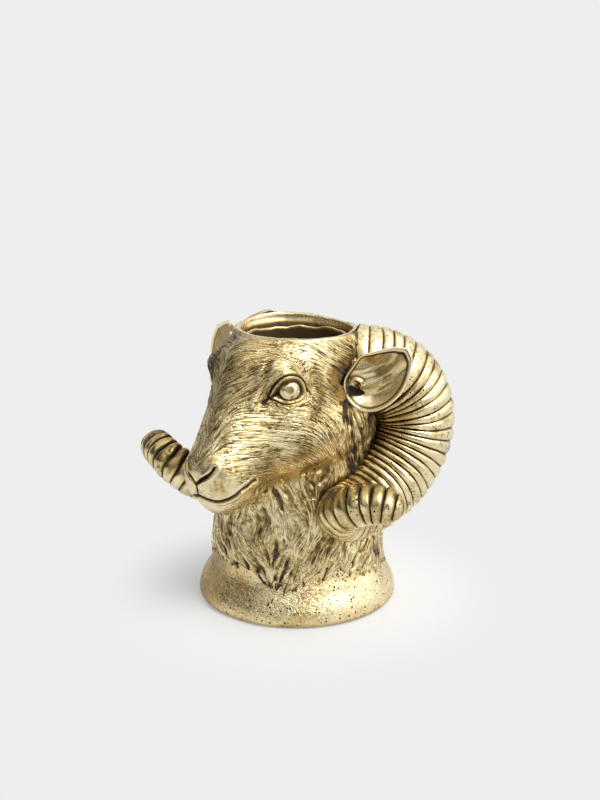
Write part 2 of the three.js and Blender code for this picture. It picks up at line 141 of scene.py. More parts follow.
def towards(direction, low, high):
    aim = Vector(direction).normalized()
    dot = add_node(tree, "ShaderNodeVectorMath", {0: way, 1: tuple(aim)}, operation="DOT_PRODUCT")
    return mapped(tree, dot.outputs["Value"], low, high)


def shade(value):
    return (value, value, value, 1)


back_of_view = (-math.sin(CAMERA_TURN), math.cos(CAMERA_TURN), 0.05)
camera_right = (math.cos(CAMERA_TURN), math.sin(CAMERA_TURN), 0.35)
camera_left = (-math.cos(CAMERA_TURN), -math.sin(CAMERA_TURN), -0.1)
room = mixed(tree, towards((0, 0, 1), 0.5, 0.92), shade(0.18), shade(1.0))
room = mixed(tree, towards(camera_left, 0.35, 0.92), room, shade(0.09))
room = mixed(tree, towards(camera_right, 0.25, 0.85), room, shade(1.45))
room = mixed(tree, towards(back_of_view, 0.35, 0.75), room, shade(PALE))
rays = add_node(tree, "ShaderNodeLightPath").outputs
backdrop_seen = sums(tree, "ADD", rays["Is Glossy Ray"], rays["Is Transmission Ray"], True)
backdrop_seen = sums(tree, "MULTIPLY", backdrop_seen, towards(back_of_view, 0.35, 0.75))
backdrop_seen = sums(tree, "ADD", backdrop_seen, rays["Is Camera Ray"], True)
seen = mixed(tree, backdrop_seen, room, shade(PALE))
shader = add_node(tree, "ShaderNodeBackground", {"Color": seen, "Strength": 1.0})
output = add_node(tree, "ShaderNodeOutputWorld", {"Surface": shader.outputs[0]})
print("room painted with", len(tree.nodes), "nodes")

# %% Hang the two soft suns
for name, turn, height, strength, spread in (
    ("key_sun", 88, 50, 1.9, 34),
    ("fill_sun", 10, 42, 0.35, 60),
):
    sun = bpy.data.objects.new(name, bpy.data.lights.new(name, "SUN"))
    sun.data.energy = strength
    sun.data.angle = math.radians(spread)
    sun.rotation_euler = (math.radians(90 - height), 0, math.radians(turn))
    bpy.context.scene.collection.objects.link(sun)
    print(name, "from", turn, "degrees round and", height, "up")

# %% [markdown]
# ## Floor
# A wide pale floor takes the shadow. Far from the vase it turns into the colour of the room
# for the camera and for reflections, so that no horizon line shows.

# %% Lay the floor
floor_mesh = bpy.data.meshes.new("floor")
shape = bmesh.new()
bmesh.ops.create_circle(shape, cap_ends=True, segments=96, radius=4.0)
bmesh.ops.translate(shape, verts=shape.verts, vec=(0, 0, -0.0001))  # clear of the vase's base
shape.to_mesh(floor_mesh)
shape.free()
floor = bpy.data.objects.new("floor", floor_mesh)
bpy.context.scene.collection.objects.link(floor)

floor_paint = bpy.data.materials.new("floor_paint")
floor_paint.use_nodes = True
tree = floor_paint.node_tree
tree.nodes.clear()
place = add_node(tree, "ShaderNodeTexCoord").outputs["Object"]
far = add_node(tree, "ShaderNodeVectorMath", {0: place}, operation="LENGTH").outputs["Value"]
far = mapped(tree, far, 0.058, 0.13, 0.3, 1.0)
rays = add_node(tree, "ShaderNodeLightPath").outputs
seen = sums(tree, "MAXIMUM", rays["Is Camera Ray"], rays["Is Glossy Ray"])
seen = sums(tree, "MAXIMUM", seen, rays["Is Transmission Ray"])
matt = add_node(tree, "ShaderNodeBsdfDiffuse", {"Color": shade(0.745)})
pale = add_node(tree, "ShaderNodeEmission", {"Color": shade(PALE), "Strength": 1.0})
both = add_node(tree, "ShaderNodeMixShader", {
    0: sums(tree, "MULTIPLY", far, seen), 1: matt.outputs[0], 2: pale.outputs[0],
})
add_node(tree, "ShaderNodeOutputMaterial", {"Surface": both.outputs[0]})
floor_mesh.materials.append(floor_paint)

# %% [markdown]
# ## Shared tools for the relief
# All the relief is carved by moving the points of a fine mesh, as a sculptor would.
# The tools work in millimetres on whole lists of points at once, which numpy does fast.
# The noise is a table of seeded random numbers, so each run gives the same fur.

# %% Read and write meshes, with their points in millimetres
MM = 0.001


def vectors_in(items, what):
    flat = np.empty(len(items) * 3, np.float32)
    items.foreach_get(what, flat)
    return flat.reshape(-1, 3)


def points_of(mesh):
    return vectors_in(mesh.vertices, "co").astype(float) / MM


def normals_of(mesh):
    return vectors_in(mesh.vertices, "normal").astype(float)


def put_points(mesh, points):
    mesh.vertices.foreach_set("co", (points * MM).astype(np.float32).ravel())
    mesh.update()


def store(mesh, name, values):
    layer = mesh.attributes.new(name, "FLOAT", "POINT")
    layer.data.foreach_set("value", np.clip(values, 0, 1).astype(np.float32))


def store_vectors(mesh, name, vectors):
    layer = mesh.attributes.new(name, "FLOAT_VECTOR", "POINT")
    layer.data.foreach_set("vector", vectors.astype(np.float32).ravel())


def to_mesh(shape, mesh):
    shape.to_mesh(mesh)
    shape.free()
    return mesh


def new_mesh(shape, name):
    return to_mesh(shape, bpy.data.meshes.new(name))


def shape_of(mesh):
    shape = bmesh.new()
    shape.from_mesh(mesh)
    return shape


# %% Smooth steps, seeded noise and distances
def step(low, high, value):
    share = np.clip((value - low) / (high - low), 0, 1)
    return share * share * (3 - 2 * share)


def bump_at(value, middle, width):
    return np.exp(-(((value - middle) / width) ** 2))


def between(a, b, share):
    return a * (1 - share) + b * share


def rows(x, y, z):
    """Triples of three columns, any of which may be one number."""
    return np.column_stack(np.broadcast_arrays(x, y, z))


def unit(vectors):
    return vectors / np.maximum(np.linalg.norm(vectors, axis=-1, keepdims=True), 1e-9)


def noise(points, cell, seed):
    table = np.random.default_rng(seed).random(64**3, dtype=np.float32)
    scaled = np.asarray(points, np.float32) / np.float32(cell)
    base = np.floor(scaled)
    x, y, z = (scaled - base).T
    x, y, z = (share * share * (3 - 2 * share) for share in (x, y, z))
    low = base.astype(np.int64) & 63
    high = (low + 1) & 63
    (x0, y0, z0), (x1, y1, z1) = low.T, high.T
    starts = [(i * 64 + j) * 64 for i, j in ((x0, y0), (x1, y0), (x0, y1), (x1, y1))]
    near, far = ([table[start + k] for start in starts] for k in (z0, z1))
    flat = [a + (b - a) * z for a, b in zip(near, far)]
    front, back = flat[0] + (flat[1] - flat[0]) * x, flat[2] + (flat[3] - flat[2]) * x
    return ((front + (back - front) * y) * 2 - 1).astype(float)


def around(p):
    """Degrees round the upright axis, from the face towards the ram's left."""
    return np.degrees(np.arctan2(p[:, 0], -p[:, 1]))


def turn_from(middle, turn):
    return (turn - middle + 180) % 360 - 180


def from_axis(points):
    return np.linalg.norm(points[:, :2], axis=1)


def to_line(points, line):
    line = np.asarray(line, float)
    best = np.full(len(points), 1e9)
    for a, b in zip(line[:-1], line[1:]):
        along = b - a
        share = np.clip(((points - a) @ along) / (along @ along), 0, 1)
        best = np.minimum(best, np.linalg.norm(points - a - share[:, None] * along, axis=1))
    return best


def new_piece(name, mesh, nodes):
    piece = bpy.data.objects.new(name, mesh)
    bpy.context.scene.collection.objects.link(piece)
    mesh.polygons.foreach_set("use_smooth", [True] * len(mesh.polygons))
    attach(piece, BODY)
    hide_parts(*nodes)
    print(name, "has", len(mesh.vertices), "points")
    return piece


# %% [markdown]
# ## Antique gold
# The real finish is a gold paint over a dark ground, with a brown wash left in the grooves
# and rubbed off the crests. One base colour would look like plastic, so the gold goes
# from pale crests through olive to nearly black by a mask that the carving stores on the
# points, broken up by noise at three scales. Besides the wash, the mask holds painted shade
# in hollows, in gaps between parts and on sides turned from the light. Casting pits are
# small dark specks. Hairs too fine for the mesh are drawn in the finish, along the lie of
# the coat on the points.

# %% A maker for the gold finishes
STRAND_SCALE = 1450.0
STRAND_REACH = 0.003  # metres along the coat, to each side
STRAND_TAPS = 6  # to each side
STRAND_DEPTH = 0.00018
PIT_SCALE = 680.0
DARKEST = (0.022, 0.014, 0.010, 1)
AMBER = (0.68, 0.4, 0.11, 1)


def attribute(tree, name, output="Fac"):
    return add_node(tree, "ShaderNodeAttribute", attribute_name=name).outputs[output]


def strands(tree, place):
    """Noise averaged along the lie of the coat, so that it draws out into hairs."""
    way = attribute(tree, "lie", "Vector")
    total = 0.0
    for tap in range(-STRAND_TAPS, STRAND_TAPS + 1):
        shift = {0: way, "Scale": tap / STRAND_TAPS * STRAND_REACH}
        shift = add_node(tree, "ShaderNodeVectorMath", shift, operation="SCALE")
        at = {0: place, 1: shift.outputs[0]}
        at = add_node(tree, "ShaderNodeVectorMath", at, operation="ADD")
        spots = {"Vector": at.outputs[0], "Scale": STRAND_SCALE, "Detail": 0.0}
        total = sums(tree, "ADD", total, add_node(tree, "ShaderNodeTexNoise", spots).outputs["Fac"])
    taps = 2 * STRAND_TAPS + 1
    return mapped(tree, total, taps * 0.43, taps * 0.57)


def aged_gold(name, rough, mottle, mask_strength=1.0, pits=0.0, crinkle=0.35, crumple=2600, relief=0.00022,
              hairs=False, tone=(0.92, 0.8, 0.51)):
    paint = bpy.data.materials.new(name)
    paint.use_nodes = True
    tree = paint.node_tree
    surface = tree.nodes["Principled BSDF"]
    place = add_node(tree, "ShaderNodeTexCoord").outputs["Object"]

    def cloud(scale, detail, roughness=0.55, twist=0.0):
        spots = {"Vector": place, "Scale": scale, "Detail": detail}
        spots.update({"Roughness": roughness, "Distortion": twist})
        return add_node(tree, "ShaderNodeTexNoise", spots).outputs["Fac"]

    broad, fine, grain = cloud(70, 4), cloud(520, 5, 0.65), cloud(crumple, 3, twist=1.5)
    # The stored mask is the wash together with the painted shade.
    dark = sums(tree, "MULTIPLY", attribute(tree, "wash_and_shade"), mask_strength)
    blotch = sums(tree, "MULTIPLY", mapped(tree, broad, 0.38, 0.72), mapped(tree, fine, 0.4, 0.66))
    dark = sums(tree, "ADD", dark, sums(tree, "MULTIPLY", blotch, mottle), True)
    if hairs:
        hair = attribute(tree, "hair")
        strand = strands(tree, place)
        patch = mapped(tree, cloud(190, 2), 0.42, 0.66, 0.45, 1.1)
        thread = sums(tree, "MULTIPLY", mapped(tree, strand, 0.6, 0.22, 0, 0.7), hair)
        thread = sums(tree, "MULTIPLY", thread, patch)
        dark = sums(tree, "ADD", dark, thread, True)
    if pits:
        cells = {"Vector": place, "Scale": PIT_SCALE, "Randomness": 1.0}
        cell = add_node(tree, "ShaderNodeTexVoronoi", cells)
        chance = add_node(tree, "ShaderNodeSeparateColor", {0: cell.outputs["Color"]}).outputs[0]
        clustered = sums(tree, "ADD", chance, sums(tree, "MULTIPLY", broad, pits))
        size = mapped(tree, clustered, 0.98, 1.34, 0, 0.42)
        speck = sums(tree, "LESS_THAN", cell.outputs["Distance"], size)
        dark = sums(tree, "MAXIMUM", dark, speck)
    ramp = add_node(tree, "ShaderNodeValToRGB", {"Fac": dark})
    stops = ramp.color_ramp.elements
    stops[0].position, stops[0].color = 0.0, (*tone, 1)
    stops[1].position, stops[1].color = 1.0, DARKEST
    for spot, colour in ((0.3, (0.53, 0.395, 0.155, 1)), (0.62, (0.155, 0.103, 0.04, 1))):
        stop = stops.new(spot)
        stop.color = colour
    warmth = sums(tree, "MULTIPLY", attribute(tree, "tint"), 0.85)
    warm = mixed(tree, warmth, ramp.outputs["Color"], AMBER)
    tree.links.new(warm, surface.inputs["Base Color"])
    tree.links.new(mapped(tree, dark, 0.35, 1.0, 1.0, 0.55), surface.inputs["Metallic"])
    roughness = sums(tree, "ADD", mapped(tree, dark, 0.0, 0.9, rough, rough + 0.28),
                     mapped(tree, fine, 0.3, 0.7, -0.05, 0.07))
    tree.links.new(roughness, surface.inputs["Roughness"])
    crumples = sums(tree, "MULTIPLY", grain, crinkle)
    height = sums(tree, "ADD", sums(tree, "MULTIPLY", fine, 0.6), crumples)
    if pits:
        height = sums(tree, "SUBTRACT", height, speck)
    bump = add_node(tree, "ShaderNodeBump", {"Strength": 0.5, "Distance": relief, "Height": height})
    if hairs:
        comb = {"Strength": hair, "Distance": STRAND_DEPTH, "Height": strand}
        bump = add_node(tree, "ShaderNodeBump", {**comb, "Normal": bump.outputs[0]})
    tree.links.new(bump.outputs[0], surface.inputs["Normal"])
    return paint


fur_gold = aged_gold("fur_gold", rough=0.26, mask_strength=0.95, mottle=0.35, hairs=True)
foot_gold = aged_gold("foot_gold", rough=0.18, mottle=0.28, pits=0.72, crinkle=1.6, crumple=560,
                      relief=0.0006, tone=(0.92, 0.78, 0.46))
horn_gold = aged_gold("horn_gold", rough=0.18, mottle=0.45, pits=0.55)
ear_gold = aged_gold("ear_gold", rough=0.24, mottle=0.15, crinkle=0.1, relief=0.00012)
eye_gold = aged_gold("eye_gold", rough=0.2, mottle=0.1)
cup_gold = aged_gold("cup_gold", rough=0.22, mottle=0.15)

# %% [markdown]
# ## Horns
# Each horn is a tapering tube of rounded ribs that winds back, down and forward round the
# cheek. A curve with a round bevel can't swell and pinch at each rib, so a plain cylinder
# is cut into many rings and every point is carried onto the horn's path. The ribs are
# narrow at the root, and their grooves open into wedges on the inner side of the curl.
# The root stops inside the wall round the vase's mouth, so it never shows through it.

# %% The horn's path and widths, in millimetres
HEIGHT = 164.0
HORN_POINTS = np.array([
    (24, 6, -21.5), (37, 15, -20), (48, 26.5, -26), (55, 36.5, -39), (58, 40, -56),
    (57, 34.5, -73), (54, 20, -87.5), (51.5, 1, -96), (51, -18, -98), (55, -33, -94),
    (66, -40, -86), (80, -37, -81), (95, -29, -83),
]) + [0, 0, HEIGHT]
HORN_WIDTH = [(0, 20.5), (0.12, 22.2), (0.22, 23.5), (0.4, 23.3), (0.5, 22), (0.62, 18.7),
              (0.7, 16.2), (0.82, 12), (0.92, 10.5), (1, 9.5)]


def evenly(line, count):
    """The same line with so many points at even gaps, and its length."""
    gone = np.append(0, np.cumsum(np.linalg.norm(np.diff(line, axis=0), axis=1)))
    even = np.linspace(0, gone[-1], count)
    return np.column_stack([np.interp(even, gone, column) for column in line.T]), gone[-1]


def through(points, power, count):
    """Even points on a smooth line through a few points."""
    points = np.asarray(points, float)
    ends = [2 * points[0] - points[1], *points, 2 * points[-1] - points[-2]]
    fine = []
    for a, b, c, d in zip(ends, ends[1:], ends[2:], ends[3:]):
        before, here, after = (np.linalg.norm(q - p) ** power for p, q in ((a, b), (b, c), (c, d)))
        go_in = ((b - a) / before - (c - a) / (before + here) + (c - b) / here) * here
        go_out = ((c - b) / here - (d - b) / (here + after) + (d - c) / after) * here
        t = np.linspace(0, 1, 60, endpoint=False)[:, None]
        fine.append((2 * t**3 - 3 * t**2 + 1) * b + (t**3 - 2 * t**2 + t) * go_in
                    + (3 * t**2 - 2 * t**3) * c + (t**3 - t**2) * go_out)
    return evenly(np.vstack([*fine, points[-1:]]), count)


def read_smooth(stations, x):
    line, _ = through(stations, 0, 1500)
    return np.interp(x, line[:, 0], line[:, 1])


horn_line, horn_length = through(HORN_POINTS, 0.5, 1200)
horn_tangent = unit(np.gradient(horn_line, axis=0))
thin_way = np.empty_like(horn_line)
way_now = np.array([0.8, -0.55, 0.2])
for i, tangent in enumerate(horn_tangent):
    way_now = unit(way_now - tangent * (way_now @ tangent))
    thin_way[i] = way_now
wide_way = np.cross(horn_tangent, thin_way)
print("horn path is %.0f mm long" % horn_length)

# %% Bend a ringed cylinder onto the path
HORN_RIBS = 40
HORN_RIB_CROWDING = 0.27
RIB_STATIONS = np.array([
    0, 0.03, 0.075, 0.14, 0.22, 0.32, 0.43, 0.55, 0.67, 0.78, 0.87, 0.935, 0.975,
])
HORN_SIDES = 112
HORN_START_RADIUS = 30.0
MOUTH_WALL = 36.6  # radius at which the root stops


def read_path(table, t):
    stations = np.linspace(0, 1, len(table))
    return np.column_stack([np.interp(t, stations, column) for column in table.T])


def thickness(t):
    """The horn's thickness as a share of its width."""
    return 0.72 + 0.18 * t


def horn_stations():
    even = np.arange(HORN_RIBS + 1) / HORN_RIBS
    edges = even * (1 - HORN_RIB_CROWDING * (1 - even) ** 2)
    jitter = np.random.default_rng(5).uniform(-0.1, 0.1, HORN_RIBS + 1)
    jitter[[0, -1]] = 0
    edges = edges + jitter * np.gradient(edges)
    place = np.append(edges[:-1, None] + np.diff(edges)[:, None] * RIB_STATIONS, 1.0)
    inside = np.append(np.tile(RIB_STATIONS, HORN_RIBS), 1.0)
    kept = (from_axis(read_path(horn_line, place)) > HORN_START_RADIUS) | (place > 0.2)
    return place[kept], inside[kept]


def rib_height(u):
    return (1 - np.abs(2 * u**0.9 - 1) ** 2.6) ** 0.58


def horn_mesh(name):
    place, inside = horn_stations()
    shape = bmesh.new()
    bmesh.ops.create_cone(shape, cap_ends=True, cap_tris=False, segments=HORN_SIDES,
                          radius1=1, radius2=1, depth=1)
    uprights = [e for e in shape.edges if abs(e.verts[0].co.z - e.verts[1].co.z) > 0.5]
    bmesh.ops.subdivide_edges(shape, edges=uprights, cuts=len(place) - 2, use_grid_fill=True)
    mesh = new_mesh(shape, name)
    raw = np.array([v.co for v in mesh.vertices])
    ring = np.rint((raw[:, 2] + 0.5) * (len(place) - 1)).astype(int)
    turn = np.arctan2(raw[:, 1], raw[:, 0])
    t, u = place[ring], inside[ring]
    to_end = np.minimum(1, (1 - t) * horn_length / 14)
    rounding = 0.12 + 0.88 * np.sqrt(1 - (1 - to_end) ** 2)
    inner = step(-0.5, 0.9, np.sin(turn))
    depth = (2.2 + 1.7 * inner) * np.interp(t, [0, 0.12, 0.6, 1], [0.32, 0.95, 0.95, 0.7])
    rib = rib_height(u)
    crest = read_smooth(HORN_WIDTH, t) + 0.6 + 0.5 * step(0.25, 0.1, t)
    size = (crest + depth * (rib - 1)) * rounding
    thin = size * thickness(t)
    turned_way = np.column_stack([np.cos(turn) * 2.2, np.sin(turn) * 2.2, t * 40])
    wander = noise(turned_way, 1.3, 15) * 0.5 * np.minimum(1, (1 - t) * 8)
    at = np.clip(t + wander / horn_length, 0, 1)
    square = 1 + 0.03 * np.cos(4 * turn)  # a horn is a little squared
    points = read_path(horn_line, at)
    points += read_path(thin_way, at) * (np.cos(turn) * thin * square)[:, None]
    points += read_path(wide_way, at) * (np.sin(turn) * size * square)[:, None]
    points[:, :2] *= np.maximum(1, MOUTH_WALL / from_axis(points))[:, None]
    put_points(mesh, points)
    skin = normals_of(mesh)
    worn = noise(points, 5.0, 11) * 0.16 + noise(points, 2.2, 12) * 0.08
    put_points(mesh, points + skin * worn[:, None])
    flank = (0.72 + 0.16 * inner) * np.interp(t, [0, 0.12, 0.62, 0.8], [0.6, 1, 1, 1.08])
    groove = 1 - np.clip(rib / flank, 0, 1) ** 1.6
    dark_streaks = noise(np.column_stack([turned_way[:, :2] * 1.5, place[ring] * 900]), 1.0, 16)
    wash_and_shade = groove * (0.9 + 0.1 * inner) + 0.22 * inner**2 + 0.2 * noise(points, 7, 13)
    wash_and_shade += 0.12 * dark_streaks
    wash_and_shade += 0.12 * step(0.6, 0.75, t)
    # Painted shade darkens the horn near the head, most where its root meets the mouth's wall.
    radius = from_axis(points)
    shade_near_head = step(44, 26, radius) + 3 * step(MOUTH_WALL + 1.2, MOUTH_WALL + 0.5, radius)
    store(mesh, "wash_and_shade", wash_and_shade + 0.35 * shade_near_head)
    store(mesh, "tint", 0.3 * step(0.2, 0.8, noise(points, 9, 14)) * inner)
    mesh.materials.append(horn_gold)
    return mesh


def mirrored(mesh, name):
    twin = mesh.copy()
    twin.name = name
    shape = shape_of(twin)
    bmesh.ops.scale(shape, verts=shape.verts, vec=(-1, 1, 1))
    bmesh.ops.recalc_face_normals(shape, faces=shape.faces)
    return to_mesh(shape, twin)


left_horn_mesh = horn_mesh("ribbed_horn_left")
new_piece("ribbed_horn_left", left_horn_mesh, ["horn_left"])
right_horn_mesh = mirrored(left_horn_mesh, "ribbed_horn_right")
new_piece("ribbed_horn_right", right_horn_mesh, ["horn_right"])

# %% [markdown]
# ## Felt base
# A disc of dark felt is glued into the recess under the foot. Its cut edge is just seen,
# so a thin turned disc with a rounded rim and a fibrous finish is enough.

# %% Turn a profile about the upright axis
SAME_POINT = 0.00001


def spin_profile(shape, profile, sides, closed=False):
    line = [shape.verts.new((radius * MM, 0, height * MM)) for radius, height in profile]
    following = line[1:] + line[:1] if closed else line[1:]
    edges = [shape.edges.new(pair) for pair in zip(line, following)]
    bmesh.ops.spin(shape, geom=line + edges, axis=(0, 0, 1), cent=(0, 0, 0), dvec=(0, 0, 0),
                   angle=2 * math.pi, steps=sides, use_merge=True, use_duplicate=False)


def turned(name, profile, sides):
    shape = bmesh.new()
    spin_profile(shape, profile, sides)
    bmesh.ops.remove_doubles(shape, verts=shape.verts, dist=SAME_POINT)
    bmesh.ops.recalc_face_normals(shape, faces=shape.faces)
    return new_mesh(shape, name)


def along_profile(corners, gap):
    corners = np.asarray(corners, float)
    length = evenly(corners, 2)[1]
    return evenly(corners, int(length / gap) + 1)[0]


# %% Make the felt
felt_paint = bpy.data.materials.new("felt_cloth")
felt_paint.use_nodes = True
tree = felt_paint.node_tree
place = add_node(tree, "ShaderNodeTexCoord").outputs["Object"]
fibres = {"Vector": place, "Scale": 1800.0, "Detail": 6.0}
fibres = add_node(tree, "ShaderNodeTexNoise", fibres).outputs["Fac"]
nap = mapped(tree, fibres, 0.3, 0.7)
nap = mixed(tree, nap, (0.012, 0.011, 0.010, 1), (0.045, 0.041, 0.036, 1))
cloth = tree.nodes["Principled BSDF"]
tree.links.new(nap, cloth.inputs["Base Color"])
cloth.inputs["Roughness"].default_value = 0.95
cloth.inputs["Sheen Weight"].default_value = 0.4
bump = add_node(tree, "ShaderNodeBump", {"Strength": 0.7, "Distance": 0.0003, "Height": fibres})
tree.links.new(bump.outputs[0], cloth.inputs["Normal"])
FELT_EDGE = [(0, 0), (52.4, 0), (52.8, 0.2), (53, 0.6), (53, 1.6), (0, 1.6)]
felt_mesh = turned("felt_disc", FELT_EDGE, 96)
felt_mesh.materials.append(felt_paint)
new_piece("felt_disc", felt_mesh, ["felt_base"])

# %% [markdown]
# ## Foot
# The foot is a flared ring whose upper edge runs up under the fur. It is turned from one
# profile with a spin, then dented a little all over, because a hand-finished casting
# never reflects like a lathe-cut one. A fold of metal swells out on the ram's left.

# %% Turn and dent the foot
FOOT_OUTSIDE = [
    (58.8, 0.6), (59.6, 0.9), (60, 1.7), (60, 3.6), (59.85, 5.6), (59.2, 8.2), (58.3, 10.4),
    (57.25, 12.5), (56.0, 14.6), (54.7, 16.6), (53.5, 18.6), (52.5, 20.8), (51.8, 23),
    (51.45, 26), (51.4, 29), (51.2, 32),
]


def foot_radius(z):
    outline = np.array(FOOT_OUTSIDE)
    return np.interp(z, outline[:, 1], outline[:, 0])


FOOT_INSIDE = [(51.2, 32), (49.8, 33), (46, 33), (44, 28), (44, 12), (44, 7.9)]
outside = along_profile(FOOT_OUTSIDE, 0.55)
inside = along_profile(FOOT_INSIDE, 2.5)[1:]
underneath = [(0, 7.9), (0, 1.9), (53.3, 1.9), (53.3, 0.6), (58.8, 0.6)]
foot_mesh = turned("flared_foot", [*outside, *inside, *underneath], 440)
foot_points = points_of(foot_mesh)
turn = around(foot_points)
upright = foot_points[:, 2]
dented = step(43.9, 49, from_axis(foot_points)) * step(0.6, 3, upright)
dents = sum(noise(foot_points, cell, seed) * deep
            for cell, seed, deep in ((19, 21, 0.55), (7, 22, 0.26), (2.6, 23, 0.1)))
fold_line = 17 + 4 * np.sin(np.radians(turn * 2.2 - 40))
fold = 0.9 * bump_at(upright, fold_line, 4.0) * step(20, 45, turn) * step(125, 95, turn)
outward = unit(foot_points * [1, 1, 0])
put_points(foot_mesh, foot_points + outward * ((dents + fold) * dented)[:, None])
# The dents' hollows take the wash. Painted shade darkens the bottom edge, where the foot meets the
# floor, the lowest few millimetres, and the side turned from the key sun.
hollows_and_base_shade = -dents / 1.1 + 0.3 * bump_at(upright, 1, 1.2)
away_from_key = step(0, -35, turn) * step(-150, -110, turn)
blotch = 0.35 * hollows_and_base_shade * step(-0.2, 0.5, noise(foot_points, 15, 24))
store(foot_mesh, "wash_and_shade", 0.05 + 0.36 * away_from_key + blotch + 0.2 * step(3.5, 1.5, upright))
store(foot_mesh, "tint", 0.3 * step(0.1, 0.7, noise(foot_points, 13, 25)))
foot_mesh.materials.append(foot_gold)
new_piece("flared_foot", foot_mesh, ["foot"])

# %% [markdown]
# ## Water cup
# The cup stands inside the neck. Only its uneven upper edge and its inner wall show
# through the mouth, so the edge gets a rounded, wavy lip, and the wall is painted nearly black as
# painted shade.

# %% Turn the cup
CUP_WALL = [
    (0, 8.2), (38.6, 8.2), (39.1, 9), (39.1, 70), (32.6, 118), (32.6, 157.6), (32.3, 158.3),
    (31.6, 158.5), (31.0, 158.2), (30.8, 157.4), (30.8, 118), (37.3, 70), (37.3, 11), (0, 10),
]
cup_mesh = turned("water_cup", along_profile(CUP_WALL, 1.0), 200)
cup_points = points_of(cup_mesh)
level = cup_points * [1, 1, 0]
ripple = noise(level, 9, 31) * 0.8 + noise(level, 3.5, 32) * 0.45
cup_points[:, 2] += ripple * step(150, 158, cup_points[:, 2])
wavy = noise(cup_points, 6, 33) * 0.25 * step(118, 125, cup_points[:, 2])
cup_points += unit(level) * wavy[:, None]
put_points(cup_mesh, cup_points)
# The wall below the edge is painted nearly black: painted shade inside the cup.
cup_edge = bump_at(cup_points[:, 2] - ripple, 158.4, 0.9)
store(cup_mesh, "wash_and_shade", 0.93 - cup_edge)
store(cup_mesh, "tint", 0.3 * cup_edge + 0.1)
cup_mesh.materials.append(cup_gold)
new_piece("water_cup", cup_mesh, ["water_liner"])

# %% [markdown]
# ## Eyes
# Each eye is a polished ball set into its socket, with a shallow ring for the iris and a
# dent for the pupil, turned to look out along the face's own slope.

# %% Shape the eyes
EYE = np.array([24.6, -39.5, 137.8])
EYE_RADIUS = 7.0
EYE_OUT = unit(np.array([0.76, -0.62, 0.19]))
EYE_ALONG = unit(np.cross(EYE_OUT, [0, 0, 1]))  # towards the nose
EYE_UP = np.cross(EYE_ALONG, EYE_OUT)


def eye_mesh(name):
    shape = bmesh.new()
    bmesh.ops.create_uvsphere(shape, u_segments=72, v_segments=48, radius=EYE_RADIUS * MM)
    to_face = Vector(EYE_OUT).to_track_quat("Z", "Y").to_matrix()
    bmesh.ops.rotate(shape, verts=shape.verts, matrix=to_face)
    bmesh.ops.translate(shape, verts=shape.verts, vec=Vector(EYE) * MM)
    mesh = new_mesh(shape, name)
    points = points_of(mesh)
    way = unit(points - EYE)
    off = np.degrees(np.arccos(np.clip(way @ EYE_OUT, -1, 1)))
    iris = bump_at(off, 36, 6)
    raised = noise(points, 2.5, 41) * 0.03 - 0.1 * iris - 0.5 * step(24, 4, off)
    put_points(mesh, points + way * raised[:, None])
    # The ball's edge, where it turns in under the lids, is painted nearly black as painted shade.
    store(mesh, "wash_and_shade", 0.15 * iris + 0.42 * step(22, 8, off) + 0.95 * step(50, 60, off))
    store(mesh, "tint", np.zeros(len(points)))
    mesh.materials.append(eye_gold)
    return mesh


left_eye_mesh = eye_mesh("eyeball_left")
new_piece("eyeball_left", left_eye_mesh, ["eye_left"])
new_piece("eyeball_right", mirrored(left_eye_mesh, "eyeball_right"), ["eye_right"])

# %% [markdown]
# ## Ears
# An ear is a leaf-shaped bowl with a rim rolled round a thin bead, a dark hollow with a
# small knob at its root and soft ridges that run to its tip. It narrows behind to a stalk
# that goes into the head. A round ball has the same build, with its upper half as the
# inside of the bowl, its middle as the rim and its lower half as the back and the stalk,
# so a ball is carried onto the ear point by point and stays one closed skin. The ear on
# the ram's right is blunt and shallow. Both are pushed clear of the horn behind them.

# %% The ear's own lines
EAR_LINE = np.array([(30.5, -9, 142), (57, -3, 129), (70.5, 9, 159)], float)
EAR_FACING = np.array([0.4, -0.9, 0])
EAR_WIDTH = [(0, 0.4), (0.12, 0.52), (0.25, 0.8), (0.5, 1), (0.75, 0.8), (0.9, 0.5), (1, 0.16)]
EAR_DEPTH = [(0, 0.62), (0.25, 1), (0.6, 0.8), (1, 0.2)]
EAR_MOUTH = 0.17  # where along the ear's line its bowl opens
EAR_BEAD = 0.75  # radius of the rolled rim
EAR_HALF_WIDTH = 16
EAR_HORN_GAP = 1.8

ear_steps = np.linspace(0, 1, 400)[:, None]
a, b, c = EAR_LINE
ear_line = (1 - ear_steps) ** 2 * a + 2 * ear_steps * (1 - ear_steps) * b + ear_steps**2 * c
ear_line, ear_length = evenly(ear_line, 400)
ear_tangent = unit(np.gradient(ear_line, axis=0))
ear_facing = unit(EAR_FACING - ear_tangent * (ear_tangent @ EAR_FACING)[:, None])
ear_across = np.cross(ear_facing, ear_tangent)
print("ear line is %.0f mm long" % ear_length)


def on_ear(t, across, back):
    """The place that lies so far across and so far behind the ear's line."""
    place = read_path(ear_line, t) + read_path(ear_across, t) * across[:, None]
    return place - read_path(ear_facing, t) * back[:, None]


# %% Keep the ear in front of the horn behind it
def horn_reach(place, every, gap=0.0):
    """Each place's distance from the horn's line, where 1 is its surface, and its half width."""
    line = horn_line[::every]
    t = np.linspace(0, 1, len(line))
    nearest = np.argmin((line**2).sum(1) - 2 * (place @ line.T), axis=1)
    half = read_smooth(HORN_WIDTH, t)[nearest]
    off = place - line[nearest]
    u = (off * wide_way[::every][nearest]).sum(1) / (half + gap)
    v = (off * thin_way[::every][nearest]).sum(1) / (half * thickness(t[nearest]) + gap)
    return np.hypot(u, v), half


